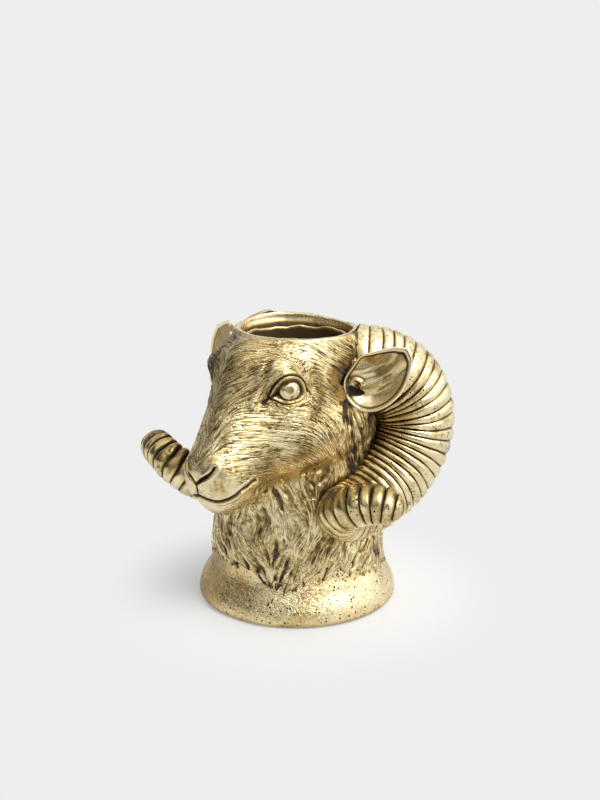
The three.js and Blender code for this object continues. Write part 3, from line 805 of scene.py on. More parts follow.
def push_off_horn(place, forward):
    """How far each place has to move forward to leave the horn by the ear's gap."""
    moved = np.zeros(len(place))
    touching = np.arange(len(place))
    for _ in range(30):
        at = place[touching] + forward[touching] * moved[touching, None]
        reach, half = horn_reach(at, 4, EAR_HORN_GAP)
        deep = reach < 1
        touching = touching[deep]
        if not len(touching):
            break
        moved[touching] += (1 - reach[deep]) * half[deep] * 0.8 + 0.01
    return moved


def to_horn(place):
    """Roughly how far each place is from the horn's surface, on either side."""
    away = []
    for part in np.array_split(place, 1 + len(place) // 20000):
        reach, half = horn_reach(np.column_stack([np.abs(part[:, 0]), part[:, 1:]]), 8)
        away.append((reach - 1) * half * 0.85)
    return np.concatenate(away)


# %% Bend a ball into an ear
def ear_mesh(name, blunt):
    shape = bmesh.new()
    bmesh.ops.create_uvsphere(shape, u_segments=160, v_segments=132, radius=1)
    mesh = new_mesh(shape, name)
    raw = np.array([v.co for v in mesh.vertices])
    phi = np.arctan2(raw[:, 1], raw[:, 0])
    # 0 in the middle of the inside, 1 at the rim, 2 at the back
    theta = np.arccos(np.clip(raw[:, 2], -1, 1)) / (math.pi / 2)
    inside = theta <= 1
    rho = np.where(inside, theta, 2 - theta)
    rho = 1 - (1 - rho) ** 1.5
    # the rim's loop is round at the mouth and pointed at the tip
    rim_t = EAR_MOUTH + (1 - EAR_MOUTH) * (1 + np.cos(phi)) / 2
    opened = np.clip((rim_t - EAR_MOUTH) / 0.25, 0, 1)
    rim_w = EAR_HALF_WIDTH * read_smooth(EAR_WIDTH, rim_t) * np.sign(np.sin(phi))
    rim_w *= np.sqrt(1 - (1 - opened) ** 2)
    rim_w *= np.sqrt(np.clip((1 - rim_t) / 0.05, 0, 1)) * (1 + blunt * step(0.45, 0.95, rim_t))
    below = (1 - blunt) * step(0, -6, rim_w)
    rim_w -= below * (2.8 * bump_at(rim_t, 0.34, 0.17) - 1.3 * bump_at(rim_t, 0.82, 0.13))
    # the last stretch before the rim rolls round a bead
    rolled = np.clip((1 - rho) / 0.09, 0, 1)
    on_bead = rolled < 1
    bead = np.radians(np.where(inside, 165, -100)) * rolled
    share = EAR_BEAD / 14  # of the bowl's mean half width
    past_bead = 1 + share * np.where(inside, math.cos(math.radians(165)) - 1, -1.17)
    spread = np.where(on_bead, 1 + share * (np.cos(bead) - 1), rho / 0.91 * past_bead)
    ahead = EAR_BEAD * np.where(on_bead, np.sin(bead), np.where(inside, 0.26, -0.98))
    middle = 0.44
    t = middle + (rim_t - middle) * spread
    w = rim_w * spread
    bowl = (1 - np.minimum(rho / 0.93, 1) ** 2.0) ** 0.85
    bowl *= 1 - 0.75 * blunt * inside
    along = (t - 0.35) * 50  # millimetres from the hollow
    curl_way = np.degrees(np.arctan2(w + 1.9, along + 3))
    from_curl = np.hypot(along + 3, w + 1.9)
    curl = bump_at(from_curl, 2.9, 1.1) * step(-70, -35, curl_way) * step(215, 180, curl_way)
    curl = np.maximum(curl, bump_at(from_curl, 2.9, 1.1) * step(-150, -180, curl_way))
    pit_across = (w + 6.0 + 0.25 * (along + 5.2)) / 2.6
    pit = step(1.25, 0.7, ((along + 5.2) / 5.2) ** 2 + pit_across**2)
    small_pit = bump_at(np.hypot(along + 3, w + 2.6), 0, 1.0)
    folds = bump_at(w + 8.6 - 0.1 * along, 0, 0.8) + 0.7 * bump_at(w + 10.6 - 0.1 * along, 0, 0.7)
    folds *= step(-5, 0, along) * step(17, 10, along) * (1 - blunt)
    streak = noise(np.column_stack([t * 5, w / 1.7, t * 0]), 1.0, 45)
    back = (9.5 * read_smooth(EAR_DEPTH, t) + 2.5 * bump_at(along, -3, 7)) * bowl
    back -= push_off_horn(on_ear(t, w, back), read_path(ear_facing, t)) * step(1, 0.75, rho)
    relief = 2.8 * pit + 1.2 * small_pit - 1.9 * curl - 0.7 * folds - 0.45 * streak
    carved = back + inside * bowl * relief - ahead
    wall = np.where(inside, 0, 0.9) * np.sqrt(1 - np.minimum(rho / 0.91, 1) ** 8)
    root = np.where(inside, 0, bump_at(t, 0.2, 0.17) * (1 - rho**3))
    wide = w + root * step(-2, 4, w) * 8
    points = on_ear(np.clip(t - 0.1 * root, 0, 1) * (1 - 0.08 * blunt), wide, carved + wall)
    put_points(mesh, points)
    # Painted shade: dark streaks over one side of the bowl's inside, the hollow, the small pit, the
    # ring round the knob and the groove beside the bead.
    dark_streaks = step(5, 12, along) * step(-8, -3, w) * (0.1 + 0.3 * step(-0.3, 0.5, streak))
    dark_streaks += 0.3 * step(0.1, 0.8, streak) * step(-8, -4, w)
    dark = 0.98 * pit + 0.9 * small_pit + 0.5 * bump_at(from_curl, 4.9, 0.8) * step(-2, 1, w)
    dark += np.minimum(dark_streaks, 0.42) + 0.08 * step(-5, 1, w)
    dark += 0.8 * bump_at(rho, 0.885, 0.022)  # the groove beside the bead
    dark = dark * (1 - blunt) + 0.45 * blunt
    dark = np.where(inside, dark, 0.2 + 0.3 * step(-0.8, 0.8, noise(points, 4, 46)))
    shown_edge = step(0.9, 0.93, rho) * np.where(inside, 1, step(0.95, 0.98, rho))
    store(mesh, "wash_and_shade", dark * (1 - shown_edge))
    amber = np.where(inside, 0.75 * curl, 0.9 * step(0.6, 0.35, t))
    store(mesh, "tint", amber * (1 - shown_edge))
    mesh.materials.append(ear_gold)
    return mesh


left_ear_mesh = ear_mesh("scooped_ear_left", 0.0)
new_piece("scooped_ear_left", left_ear_mesh, ["ear_left"])
right_ear_mesh = mirrored(ear_mesh("blunt_ear", 0.9), "scooped_ear_right")
new_piece("scooped_ear_right", right_ear_mesh, ["ear_right"])


# %% [markdown]
# ## Head and neck: the clay
# The fur is carved into one fine, even skin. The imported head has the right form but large
# flat faces, so a copy of it is merged, its eye sockets are filled with balls of clay, a
# collar is added that reaches down over the foot, and the whole is remeshed by voxels.
# The hidden inside is cut away and closed with one plain wall, which saves half the faces.

# %% Join the clay and remesh it
VOXEL = 0.5
LID_BALL = EYE_RADIUS + 0.75  # the clay that the lids are cut from
COLLAR = [(45, 16), (52.3, 16), (51.6, 26), (45, 26)]


def joined_clay():
    shape = shape_of(frame["nodes"]["head_and_neck"].data)
    bmesh.ops.remove_doubles(shape, verts=shape.verts, dist=SAME_POINT)
    for sign in (1, -1):
        at = Matrix.Translation(Vector(EYE * [sign, 1, 1]) * MM)
        bmesh.ops.create_uvsphere(shape, u_segments=64, v_segments=40, radius=LID_BALL * MM,
                                  matrix=at)
    spin_profile(shape, COLLAR, 120, closed=True)
    clay = bpy.data.objects.new("clay", new_mesh(shape, "clay"))
    bpy.context.scene.collection.objects.link(clay)
    remesh = clay.modifiers.new("even skin", "REMESH")
    remesh.mode = "VOXEL"
    remesh.voxel_size = VOXEL * MM
    remeshed = clay.evaluated_get(bpy.context.evaluated_depsgraph_get())
    fine = bpy.data.meshes.new_from_object(remeshed)
    bpy.data.objects.remove(clay)
    return fine


head_mesh = joined_clay()
print("remeshed clay has", len(head_mesh.vertices), "points")


# %% Cut the hidden inside away and close it
def open_inside(mesh):
    shape = shape_of(mesh)
    hidden = []
    for face in shape.faces:
        x, y, z = face.calc_center_median() / MM
        radius = math.hypot(x, y)
        wall = np.interp(z, [70, 118], [44.2, 34.2])
        if (radius < wall and z < 153) or (z < 17.2 and radius < 51):
            hidden.append(face)
    bmesh.ops.delete(shape, geom=hidden, context="FACES")
    parts, seen = [], set()
    for first in shape.verts:
        if first in seen:
            continue
        group, queue = [], [first]
        seen.add(first)
        while queue:
            vert = queue.pop()
            group.append(vert)
            for edge in vert.link_edges:
                other = edge.other_vert(vert)
                if other not in seen:
                    seen.add(other)
                    queue.append(other)
        parts.append(group)
    parts.sort(key=len)
    for group in parts[:-1]:
        bmesh.ops.delete(shape, geom=group, context="VERTS")
    rims = [edge for edge in shape.edges if edge.is_boundary]
    bmesh.ops.bridge_loops(shape, edges=rims)
    bmesh.ops.recalc_face_normals(shape, faces=shape.faces)
    to_mesh(shape, mesh)


open_inside(head_mesh)
print("outer skin has", len(head_mesh.vertices), "points")

# %% [markdown]
# ## Head and neck: the smooth form
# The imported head's form is a smooth blend of eggs and tapers: skull, muzzle, nose, bridge,
# jaw, cheeks, brows and the bosses that the horns grow from. The same blend, written here
# for whole lists of points, draws the clay onto a perfectly smooth surface, which plain
# smoothing can't do without shrinking the nose and lips.

# %% The blend of forms
def to_egg(p, centre, radii):
    off = p - centre
    whole = np.linalg.norm(off / radii, axis=1)
    slope = np.linalg.norm(off / np.square(radii), axis=1)
    return whole * (whole - 1) / np.maximum(slope, 1e-9)


def to_taper(p, start, end, radii):
    along = np.subtract(end, start).astype(float)
    share = np.clip(((p - start) @ along) / (along @ along), 0, 1)
    off = np.linalg.norm(p - start - share[:, None] * along, axis=1)
    return off - (radii[0] + (radii[1] - radii[0]) * share)


def fuse(a, b, blend):
    near = np.maximum(blend - np.abs(a - b), 0) / blend
    return np.minimum(a, b) - near * near * blend / 4


NECK = [(0, 50.5), (24, 51), (40, 51.2), (62, 48.5), (85, 46), (100, 46), (110, 46), (118, 44.5),
        (130, 40.6), (145, 37.9), (194, 35.1)]
neck_line, _ = through(NECK, 0, 2000)


def skin(p):
    q = np.column_stack([np.abs(p[:, 0]), p[:, 1], p[:, 2] - HEIGHT])
    neck = np.hypot(p[:, 0], p[:, 1]) - np.interp(p[:, 2], *neck_line.T)
    d = fuse(neck, to_egg(q, (0, -18, -26), (36, 33, 30)), 10)
    d = fuse(d, to_taper(q / [1.08, 1, 1], (0, -34, -44), (0, -67, -73), (27, 17)), 12)
    d = fuse(d, to_egg(q, (0, -73, -73), (17.6, 14.5, 13)), 5)
    d = fuse(d, to_taper(q, (0, -44, -18), (0, -73, -63), (14.2, 11.6)), 14)
    d = fuse(d, to_taper(q, (0, -22, -66), (0, -66, -84), (20, 11.5)), 12)
    d = fuse(d, to_egg(q, (21, -26, -52), (15, 20, 20)), 10)
    d = fuse(d, to_egg(q, (20.1, -41, -16.2), (9, 9, 7)), 10)
    return fuse(d, to_egg(q, (30, 8, -17), (12, 14, 19)), 8)


def folded(p):
    """The same points with those on the ram's right carried over to its left."""
    near = np.array(p, float)
    near[:, 0] = np.abs(near[:, 0])
    return near


def clay_form(p):
    ball = np.linalg.norm(folded(p) - EYE, axis=1) - LID_BALL
    return fuse(skin(p), ball, 2.0)


def slope_of(form, p, gap=0.15):
    here = form(p)
    return here, np.column_stack([form(p + gap * axis) - here for axis in np.eye(3)]) / gap


def drawn_to(form, p, turns=3):
    p = p.copy()
    for _ in range(turns):
        value, slope = slope_of(form, p)
        p -= slope * (value / np.maximum((slope**2).sum(1), 0.2))[:, None]
    return p


# %% Draw the clay onto the form
def edges_of(mesh):
    flat = np.empty(len(mesh.edges) * 2, np.int64)
    mesh.edges.foreach_get("vertices", flat)
    return flat.reshape(-1, 2)


def relaxed(points, edges, share, turns):
    a, b = edges.T
    count = np.bincount(a, minlength=len(points)) + np.bincount(b, minlength=len(points))
    points = points.copy()
    for _ in range(turns):
        mean = np.column_stack([
            np.bincount(a, points[b, k], len(points)) + np.bincount(b, points[a, k], len(points))
            for k in range(3)
        ]) / np.maximum(count, 1)[:, None]
        points += (mean - points) * np.asarray(share).reshape(-1, 1)
    return points


points = points_of(head_mesh)
depth = clay_form(points)
outer = (depth > -2.2) & (points[:, 2] < 162.2) & (points[:, 2] > 25)
points[outer] = drawn_to(clay_form, points[outer])
edges = edges_of(head_mesh)
rim_zone = step(157, 161, points[:, 2])
points = relaxed(points, edges, 0.5 * rim_zone, 16)
points[outer] = drawn_to(clay_form, relaxed(points, edges, 0.4 * outer, 3)[outer], 2)
put_points(head_mesh, points)
print("clay drawn onto the form:", int(outer.sum()), "points")

# %% [markdown]
# ## Head and neck: finer skin where the carving is finest
# The lids, the nostrils and the mouth have edges half a millimetre wide, which the even
# skin is too coarse for. Only their own faces are cut in four, so the rest stays light.

# %% Lines of the face, on the ram's left
def laid(points):
    line, _ = through(points, 0.5, 60)
    return drawn_to(clay_form, line, 4)


NOSTRIL = laid([(8.9, -83.2, 100.8), (8.4, -85.2, 98.6), (6.5, -86.8, 96.3), (4, -87.9, 94.6),
                (1.9, -88.4, 92.8), (0, -88.5, 91.2)])
PHILTRUM = laid([(0, -88.5, 91.2), (0, -88, 88.6), (0, -86, 84.6)])
MOUTH = laid([(0, -85.8, 84.3), (4.9, -84.3, 82.3), (8.9, -81.9, 81.3), (12.9, -79.3, 82.3),
              (16.3, -76, 84.5), (18.3, -72.5, 87.3), (18.9, -68, 88.3), (19.3, -62.5, 90)])
JAW = laid([(19.3, -60, 88.5), (20.7, -50, 89), (24.7, -41.8, 91), (32.9, -31.5, 95.9),
            (39, -15.8, 101.7), (42, -2.1, 107), (43, 4, 118)])


def eye_place(p):
    off = folded(p) - EYE
    return off @ EYE_ALONG, off @ EYE_UP, off @ EYE_OUT


print("mouth line runs from", MOUTH[0].round(1), "to", MOUTH[-1].round(1))


# %% Cut the finest places in four
def finer(mesh, near):
    shape = shape_of(mesh)
    shape.verts.ensure_lookup_table()
    edges = [e for e in shape.edges if near[e.verts[0].index] and near[e.verts[1].index]]
    bmesh.ops.subdivide_edges(shape, edges=edges, cuts=1, use_grid_fill=True)
    ragged = [f for f in shape.faces if len(f.verts) > 4]
    bmesh.ops.triangulate(shape, faces=ragged)
    to_mesh(shape, mesh)


across, up, out = eye_place(points)
near_eye = (out > 0) & (np.hypot(across - 1, up) < 13.5)
near = folded(points)
near_line = np.zeros(len(points), bool)
front = points[:, 1] < -55
near_line[front] = np.minimum(to_line(near[front], MOUTH), to_line(near[front], NOSTRIL)) < 2.4
near_line[front] |= to_line(near[front], PHILTRUM) < 1.6
finer(head_mesh, near_eye | near_line)
points = points_of(head_mesh)
edges = edges_of(head_mesh)
across, up, out = eye_place(points)
soft_zone = (out > 0) & (np.hypot(across - 1, up) < 14.5) | (points[:, 1] < -55)
points = relaxed(points, edges, 0.5 * soft_zone, 2)
points[soft_zone] = drawn_to(clay_form, points[soft_zone], 2)
put_points(head_mesh, points)
print("skin now has", len(points), "points")

# %% [markdown]
# ## Head and neck: eyelids, nostrils, mouth and jaw
# A sculptor cuts the large lines first. Each is a line laid on the skin, and the points
# near it move along the skin's own slope by a profile of the distance: a groove, a lip
# beside it, or a lid whose inner edge drops steeply beneath the eyeball.

# %% The eye's opening
LID_OUTER = (-8.7, -1.9)
LID_INNER = (10.3, -2.9)
UPPER_LID = [LID_OUTER, (-7.3, 2.8), (-4.2, 5.7), (0, 6.6), (3.9, 5.7), (7, 2.9), LID_INNER]
LOWER_LID = [LID_INNER, (7.2, -4.1), (4.6, -5.5), (0, -6.4), (-4.2, -5.7), (-7.1, -4.1), LID_OUTER]
upper_lid, lower_lid = (through(line, 0.5, 60)[0] for line in (UPPER_LID, LOWER_LID))


def on_lids(*columns):
    """Places on the flat drawing of the eye, where lines are measured in three numbers."""
    flat = np.column_stack(columns)
    return np.column_stack([flat, np.zeros(len(flat))])


def from_opening(a, b):
    """Distance from the opening's edge, below zero inside it."""
    loop = np.vstack([upper_lid, lower_lid[1:]])
    away = to_line(on_lids(a, b), on_lids(loop))
    under_upper = b < np.interp(a, upper_lid[:, 0], upper_lid[:, 1])
    over_lower = b > np.interp(a, lower_lid[::-1, 0], lower_lid[::-1, 1])
    within = under_upper & over_lower & (a > LID_OUTER[0]) & (a < LID_INNER[0])
    return np.where(within, -away, away)


# %% Carve the lids
eye_zone = np.flatnonzero((out > -1) & (np.hypot(across - 1, up) < 17))
a, b = across[eye_zone], up[eye_zone]
m = from_opening(a, b)
corners = np.interp(a, [LID_OUTER[0], LID_INNER[0]], [LID_OUTER[1], LID_INNER[1]])
above = step(-1.2, 1.2, b - corners)
noseward = step(-4, 8, a)
lid = step(-0.1, 0.25, m) * step(1.5, 0.9, m) * 0.62
lid_fold = bump_at(m, 1.7, 0.45)
crease = 0.42 * bump_at(m, 2.9, 0.9) * (0.5 + 0.8 * noseward) - lid_fold * (0.8 + 0.4 * noseward)
under_lid = step(-0.1, 0.25, m) * step(1.3, 0.8, m) * 0.55
under_crease = -lid_fold * (0.35 + 0.4 * noseward) * step(-10, -5, a)
lid_relief = above * (lid + crease) + (1 - above) * (under_lid + under_crease)
lid_relief *= step(15.5, 12, np.hypot(a - 1, b))
duct = to_line(on_lids(a, b), on_lids([(9.6, -2.9), (12, -4.3), (14.6, -6.1)]))
lid_relief -= 1.15 * bump_at(duct, 0, 0.7)
outer_line = to_line(on_lids(a, b), on_lids([(-10.1, -0.2), (-11.9, -2.2), (-12.6, -3.2)]))
lid_relief -= 0.4 * bump_at(outer_line, 0, 0.55)
skin_slope = normals_of(head_mesh)
points[eye_zone] += skin_slope[eye_zone] * lid_relief[:, None]
sides = np.sign(points[eye_zone, :1] + 1e-9)
centre = EYE * np.hstack([sides, np.ones((len(sides), 2))])
away = points[eye_zone] - centre
radial = np.linalg.norm(away, axis=1, keepdims=True)
sunk = step(0.12, -0.3, m)[:, None]
points[eye_zone] = centre + away / radial * (radial * (1 - sunk) + 6.1 * sunk)
put_points(head_mesh, points)
# The lids' creases, the tear duct and the outer line take the wash; inside the opening, round the
# ball, the darkening is painted shade.
lid_lines_and_shade = np.zeros(len(points))
lid_lines_and_shade[eye_zone] = np.clip(
    above * lid_fold + 0.9 * (1 - above) * bump_at(m, 1.7, 0.42) * (0.35 + 0.65 * noseward)
    + bump_at(duct, 0, 0.8) + 0.7 * bump_at(outer_line, 0, 0.5) + step(0.12, -0.1, m), 0, 1)
bare = np.zeros(len(points))
bare[eye_zone] = step(2.6, 1.5, m)
print("lids carved at", len(eye_zone), "points")

# %% Carve the nostrils, the mouth, the jaw and the brows
near = folded(points)
skin_slope = normals_of(head_mesh)
reach = np.flatnonzero((points[:, 1] < 8) & (points[:, 2] > 66))
face_relief = np.zeros(len(points))
face_lines_and_shade = np.zeros(len(points))
q = near[reach]
x, y, z = q.T
mouth, nostril = to_line(q, MOUTH), to_line(q, NOSTRIL)
philtrum, jaw = to_line(q, PHILTRUM), to_line(q, JAW)
over_mouth = z - np.interp(y, MOUTH[:, 1], MOUTH[:, 2])
carved = -1.7 * bump_at(mouth, 0, 0.95) + 0.5 * bump_at(mouth, 2.4, 1.1)
flare = 0.4 + 0.4 * step(9, 5.5, x)  # the nostril is a comma, widest below
carved += -1.7 * bump_at(nostril, 0, flare) * step(0, 3, x) - 0.9 * bump_at(nostril, 0, 0.6)
carved += 0.5 * bump_at(nostril, 2.0, 1.1) * step(2, 6, x) - 0.8 * bump_at(philtrum, 0, 0.6)
below_jaw = np.interp(y, JAW[:, 1], JAW[:, 2]) - z
jaw_edge = bump_at(jaw, 0, 3.4) - bump_at(below_jaw, 5.5, 2.6) * step(12, 7, jaw)
carved += jaw_edge * step(-64, -56, y) * step(-14, -30, y)
SOCKET = [(18.2, -47.5, 154), (18.6, -49.5, 146), (18.3, -52, 139), (17.8, -54, 132)]
NOSE_EDGE = [(15, -50, 152), (15, -52, 147), (14.6, -55, 139), (13.6, -58, 129)]
TEMPLE = [(33, -27, 146), (35, -24, 138), (35, -24, 130), (33, -29, 121)]
socket, edge_line, temple = (to_line(q, laid(line)) for line in (SOCKET, NOSE_EDGE, TEMPLE))
carved += -0.75 * bump_at(socket, 0, 2.3) + 0.7 * bump_at(edge_line, 0, 2.3) * step(155, 146, z)
carved += -0.9 * bump_at(temple, 0, 4.0)
face_relief[reach] = carved
points += skin_slope * face_relief[:, None]
put_points(head_mesh, points)
# The mouth, nostril and philtrum lines take the wash. Below the jaw's edge and in the eye socket
# the darkening is painted shade; the temple's hollow is darkened too.
face_lines_and_shade[reach] = np.clip(
    1.2 * bump_at(mouth, 0, 1.05) + 1.2 * bump_at(nostril, 0, flare)
    + 0.9 * bump_at(philtrum, 0, 0.6)
    + 0.3 * bump_at(below_jaw, 5.5, 3) * step(12, 7, jaw) * step(-64, -56, y)
    + 0.22 * bump_at(socket, 0, 2.2) + 0.3 * bump_at(temple, 0, 4), 0, 1)
lips = step(4.6, 3.0, mouth) * step(-58, -64, y)
lips = np.maximum(lips, step(11, 7.5, mouth) * step(1, -1.5, over_mouth) * step(-54, -62, y))
lips = np.maximum(lips, step(17, 9, mouth) * step(-70, -80, y) * step(100, 95, z))
nose_pad = step(9, 5, nostril) * step(92, 96, z) * step(-76, -82, y)
hairless = np.clip(lips + 0.8 * nose_pad + step(2.6, 1.4, nostril), 0, 1)
bare[reach] = np.maximum(bare[reach], hairless)
amber = np.zeros(len(points))
amber[reach] = bump_at(jaw, 1.5, 6.5) * step(-66, -52, y) * step(-3, -20, y)
# Darker patches on the lip and on the nose.
DARK_PATCHES = [(0.32, (12.4, -82.6, 89.5), 4.5), (0.4, (8.6, -84, 104), 3.6)]  # on lip and nose
dark_patch = sum(deep * bump_at(np.linalg.norm(q - spot, axis=1), 0, width)
            for deep, spot, width in DARK_PATCHES)
face_lines_and_shade[reach] = np.maximum(face_lines_and_shade[reach], dark_patch * (0.7 + 0.5 * noise(q, 1.4, 58)))
print("face carved at", len(reach), "points")

# %% [markdown]
# ## Head and neck: fur
# Every hair is a stroke that follows the lie of the coat. A field of directions says how
# the coat lies: back from the nose, round the eyes, down the neck. Noise that is averaged
# along those directions stretches into strokes, because neighbours on one stroke share
# nearly the same average. Short fine strokes cover the face and long deep locks the neck,
# where they lean towards a tuft that hangs over the foot.

# %% The lie of the coat
EDGE_Y = [-95, -72, -62, -55, -42, -31.5, -18, -13, -8, -2, 4]
EDGE_Z = [60, 70, 79, 85.5, 88, 93, 101, 116, 132, 150, 172]  # where the face's short coat ends
TUFT_TURN = 29  # where the hem's longest tuft hangs


def face_share(p):
    above_edge = step(-1.6, 1.6, p[:, 2] - np.interp(p[:, 1], EDGE_Y, EDGE_Z))
    return above_edge * step(9.5, 7, p[:, 1])


def lie_of_coat(p):
    x, y, z = p.T
    side = np.tanh(x / 1.2)
    way = rows(side * 0.3, 1, -0.12)  # on the cheek
    on_bridge = step(13, 6, np.abs(x)) * step(100, 112, z) * step(-30, -45, y)
    for toward, share in (
        (rows(side * 0.1, 0.35, -1), step(-50, -12, y)),  # under the jaw
        (rows(side * 0.35, 0.6, 0.8), on_bridge),
        (rows(side * 0.2, 0.8, -0.6), step(-36, -24, y) * step(110, 124, z)),  # at the temple
        (rows(np.tanh((x + 5) / 5), 0, 0.7), step(126, 140, z) * step(-22, -34, y)),  # on the crown
    ):
        way = between(way, toward, share[:, None])
    off = folded(p) - EYE
    far = np.linalg.norm(off, axis=1, keepdims=True)
    off = off / np.maximum(far, 1) * rows(np.sign(x), 1, 1)
    hold = 0.9 * step(17, 10, far[:, 0])
    way = unit(way) - off * (hold * (unit(way) * off).sum(1))[:, None]
    ring = unit(rows(-y, x, 0))
    stretched = p * [1, 1, 0.6]
    wander = 0.7 * noise(stretched, 8, 51) + 0.5 * noise(stretched, 3.8, 52)
    to_tuft = turn_from(around(p), TUFT_TURN)
    wander += np.clip(to_tuft / 16, -1.3, 1.3) * step(62, 34, z) * step(75, 50, np.abs(to_tuft))
    neck = ring * wander[:, None] - [0, 0, 1]
    return unit(between(neck, way, face_share(p)[:, None]))


def strokes(p, slope, cell, reach, turns, seed):
    """Noise averaged along the coat, with a spread of one."""
    total = noise(p, cell, seed)
    for sign in (1, -1):
        at = p.copy()
        for _ in range(turns):
            way = lie_of_coat(at)
            way -= slope * (way * slope).sum(1)[:, None]
            at += unit(way) * (sign * reach / turns)
            total += noise(at, cell, seed)
    return (total - total.mean()) / total.std()


# %% Comb the coat
skin_slope = normals_of(head_mesh)
hairy = np.flatnonzero((skin(points) > -3.5) & (points[:, 2] > 17))
p, slope = points[hairy], skin_slope[hairy]
face = face_share(p)
on_face, on_neck = np.flatnonzero(face > 0.01), np.flatnonzero(face < 0.99)
fine, short, locks, hairs = np.zeros((4, len(p)))
for kind, part, cell, reach, turns, seed in (
    (fine, on_face, 0.6, 3.0, 4, 61), (short, on_face, 1.0, 3.6, 4, 62),
    (locks, on_neck, 2.3, 6.5, 6, 63), (hairs, on_neck, 1.1, 4.5, 4, 64),
):
    kind[part] = strokes(p[part], slope[part], cell, reach, turns, seed)
print("combed", len(on_face), "points of the face and", len(on_neck), "of the neck")

# %% [markdown]
# ## Head and neck: carving the coat and its hem
# Crests of the strokes are rounded and their grooves are sharp, as cuts are. The coat
# ends over the foot in a hem of tufts: where a lock stands high it reaches further down,
# and below the hem the skin dives under the foot's surface, so the foot shows there. The
# front of the neck is calmer, a ruff stands up below the jaw, and the coat swells beside the
# horns.

# %% Move the skin by the strokes
HEM_TURN = [-180, -140, -100, -60, -18, -2, 12, 22, 29, 36, 42, 53, 63, 84, 121, 150, 180]
HEM_HEIGHT = [25, 27, 29, 31, 30.5, 29.9, 27, 23, 20.3, 23.5, 26.5, 30, 29.2, 26, 23, 25, 25]


def cut(value):
    return np.where(value < 0, 1.35 * value, 0.75 * value)


x, y, z = p.T
clear = 1 - bare[hairy]
coat_relief = face * (0.03 * cut(fine) + 0.04 * cut(short)) * clear
off_tuft = np.abs(turn_from(TUFT_TURN, around(p)))
calm = bump_at(off_tuft, 0, 26) * bump_at(z, 62, 15)
fleece = 0.48 * cut(np.clip(locks, -1.9, 2.3)) + 0.17 * cut(hairs)
coat_relief += (1 - face) * (1 - 0.5 * calm) * fleece * step(18, 22, z)
edge_gap = np.interp(y, EDGE_Y, EDGE_Z) - z
coat_relief += 0.5 * bump_at(edge_gap, 5, 5) * step(-52, -40, y) * step(14, 4, y)
aside = np.abs(x)
beside_horn = bump_at(aside, 46, 9) * bump_at(y, 16, 10) * bump_at(z, 110, 17)
behind_horn = bump_at(aside, 37, 10) * bump_at(y, 28, 10) * bump_at(z, 108, 15)
coat_relief += 2.6 * beside_horn + 3.2 * behind_horn
near_rim = step(163.5, 159, z)
coat_relief *= 0.25 + 0.75 * near_rim
points[hairy] += slope * coat_relief[:, None]
lock_all, hair_all, hem_shade = np.zeros((3, len(points)))
lock_all[hairy], hair_all[hairy] = locks, hairs
low = np.flatnonzero(points[:, 2] < 46)
q = points[low]
radius = from_axis(q)
tuft = np.clip(lock_all[low], -1.6, 1.8)
hem = np.interp(around(q), HEM_TURN, HEM_HEIGHT) - 0.5 - 2.1 * tuft - 0.7 * hair_all[low]
over_hem = q[:, 2] - hem
outer_side = step(44, 47, radius)
over_foot = foot_radius(q[:, 2]) + 0.85 + 0.35 * tuft + 0.1 * hair_all[low]
over_foot -= 0.45 * step(3, -0.5, over_hem)
full = radius + np.maximum(over_foot - radius, 0) * step(43, 33, q[:, 2])
coated = step(-0.45, 0.45, over_hem)
dived = np.minimum(radius, foot_radius(q[:, 2]) - 1.3)
moved = between(radius, between(dived, full, coated), outer_side) / radius
points[low, :2] = q[:, :2] * moved[:, None]
tuft_side = step(75, 25, np.abs(turn_from(TUFT_TURN, around(q))))
between_tufts = step(10, 1, over_hem) * step(-0.5, 0.5, over_hem) * step(0.2, 1.3, -tuft)
# Painted shade just above the hem, most at the longest tuft, and in the gaps between tufts.
hem_shade[low] = step(3.2, 0.3, over_hem) * (0.12 + 0.6 * tuft_side)
hem_shade[low] += 0.4 * between_tufts * (0.3 + 0.7 * tuft_side)
seen_hem = hem[outer_side > 0.5]
print("hem runs from %.1f to %.1f mm up" % (seen_hem.min(), seen_hem.max()))

# %% [markdown]
# ## Head and neck: the rim
# The mouth's rim was dressed by hand on the real piece. It is a thick, uneven roll that
# stands highest at the back on the ram's right, where it also leans outwards.

# %% Roll the rim
turn = around(points)
high = step(150, 163, points[:, 2])


def near_turn(middle, width):
    return bump_at(turn_from(middle, turn), 0, width)


rim_lift = 2.2 * near_turn(-124, 42) - 0.9 * near_turn(172, 34)
rim_lift += 0.5 * noise(points, 11, 71) + 0.2 * noise(points, 4, 72)
points[:, 2] += rim_lift * high
inner_wall = step(36.3, 34.6, from_axis(points)) * step(150, 153, points[:, 2])
out_way = unit(points * [1, 1, 0])
tilt = 1.3 * inner_wall * step(158.5, 163.5, points[:, 2]) * near_turn(-120, 55)
points += out_way * tilt[:, None]
points += out_way * ((0.5 * noise(points, 9, 73) + 0.8 * near_turn(-124, 50)) * high)[:, None]
put_points(head_mesh, points)

# %% [markdown]
# ## Head and neck: wash, wear and painted shade
# The brown wash stays in the grooves, and the crests are rubbed bright. The mask of it is
# worked out from the same strokes that moved the points, so colour and relief always agree.
# The same mask carries painted shade: above the hem and most at its longest tuft, under the
# jaw, round the eyes and the roots of the ears and horns, beside and in front of each horn,
# on the far cheek and on the mouth's inner wall. Amber lies along the jaw and at the roots
# of the ears.

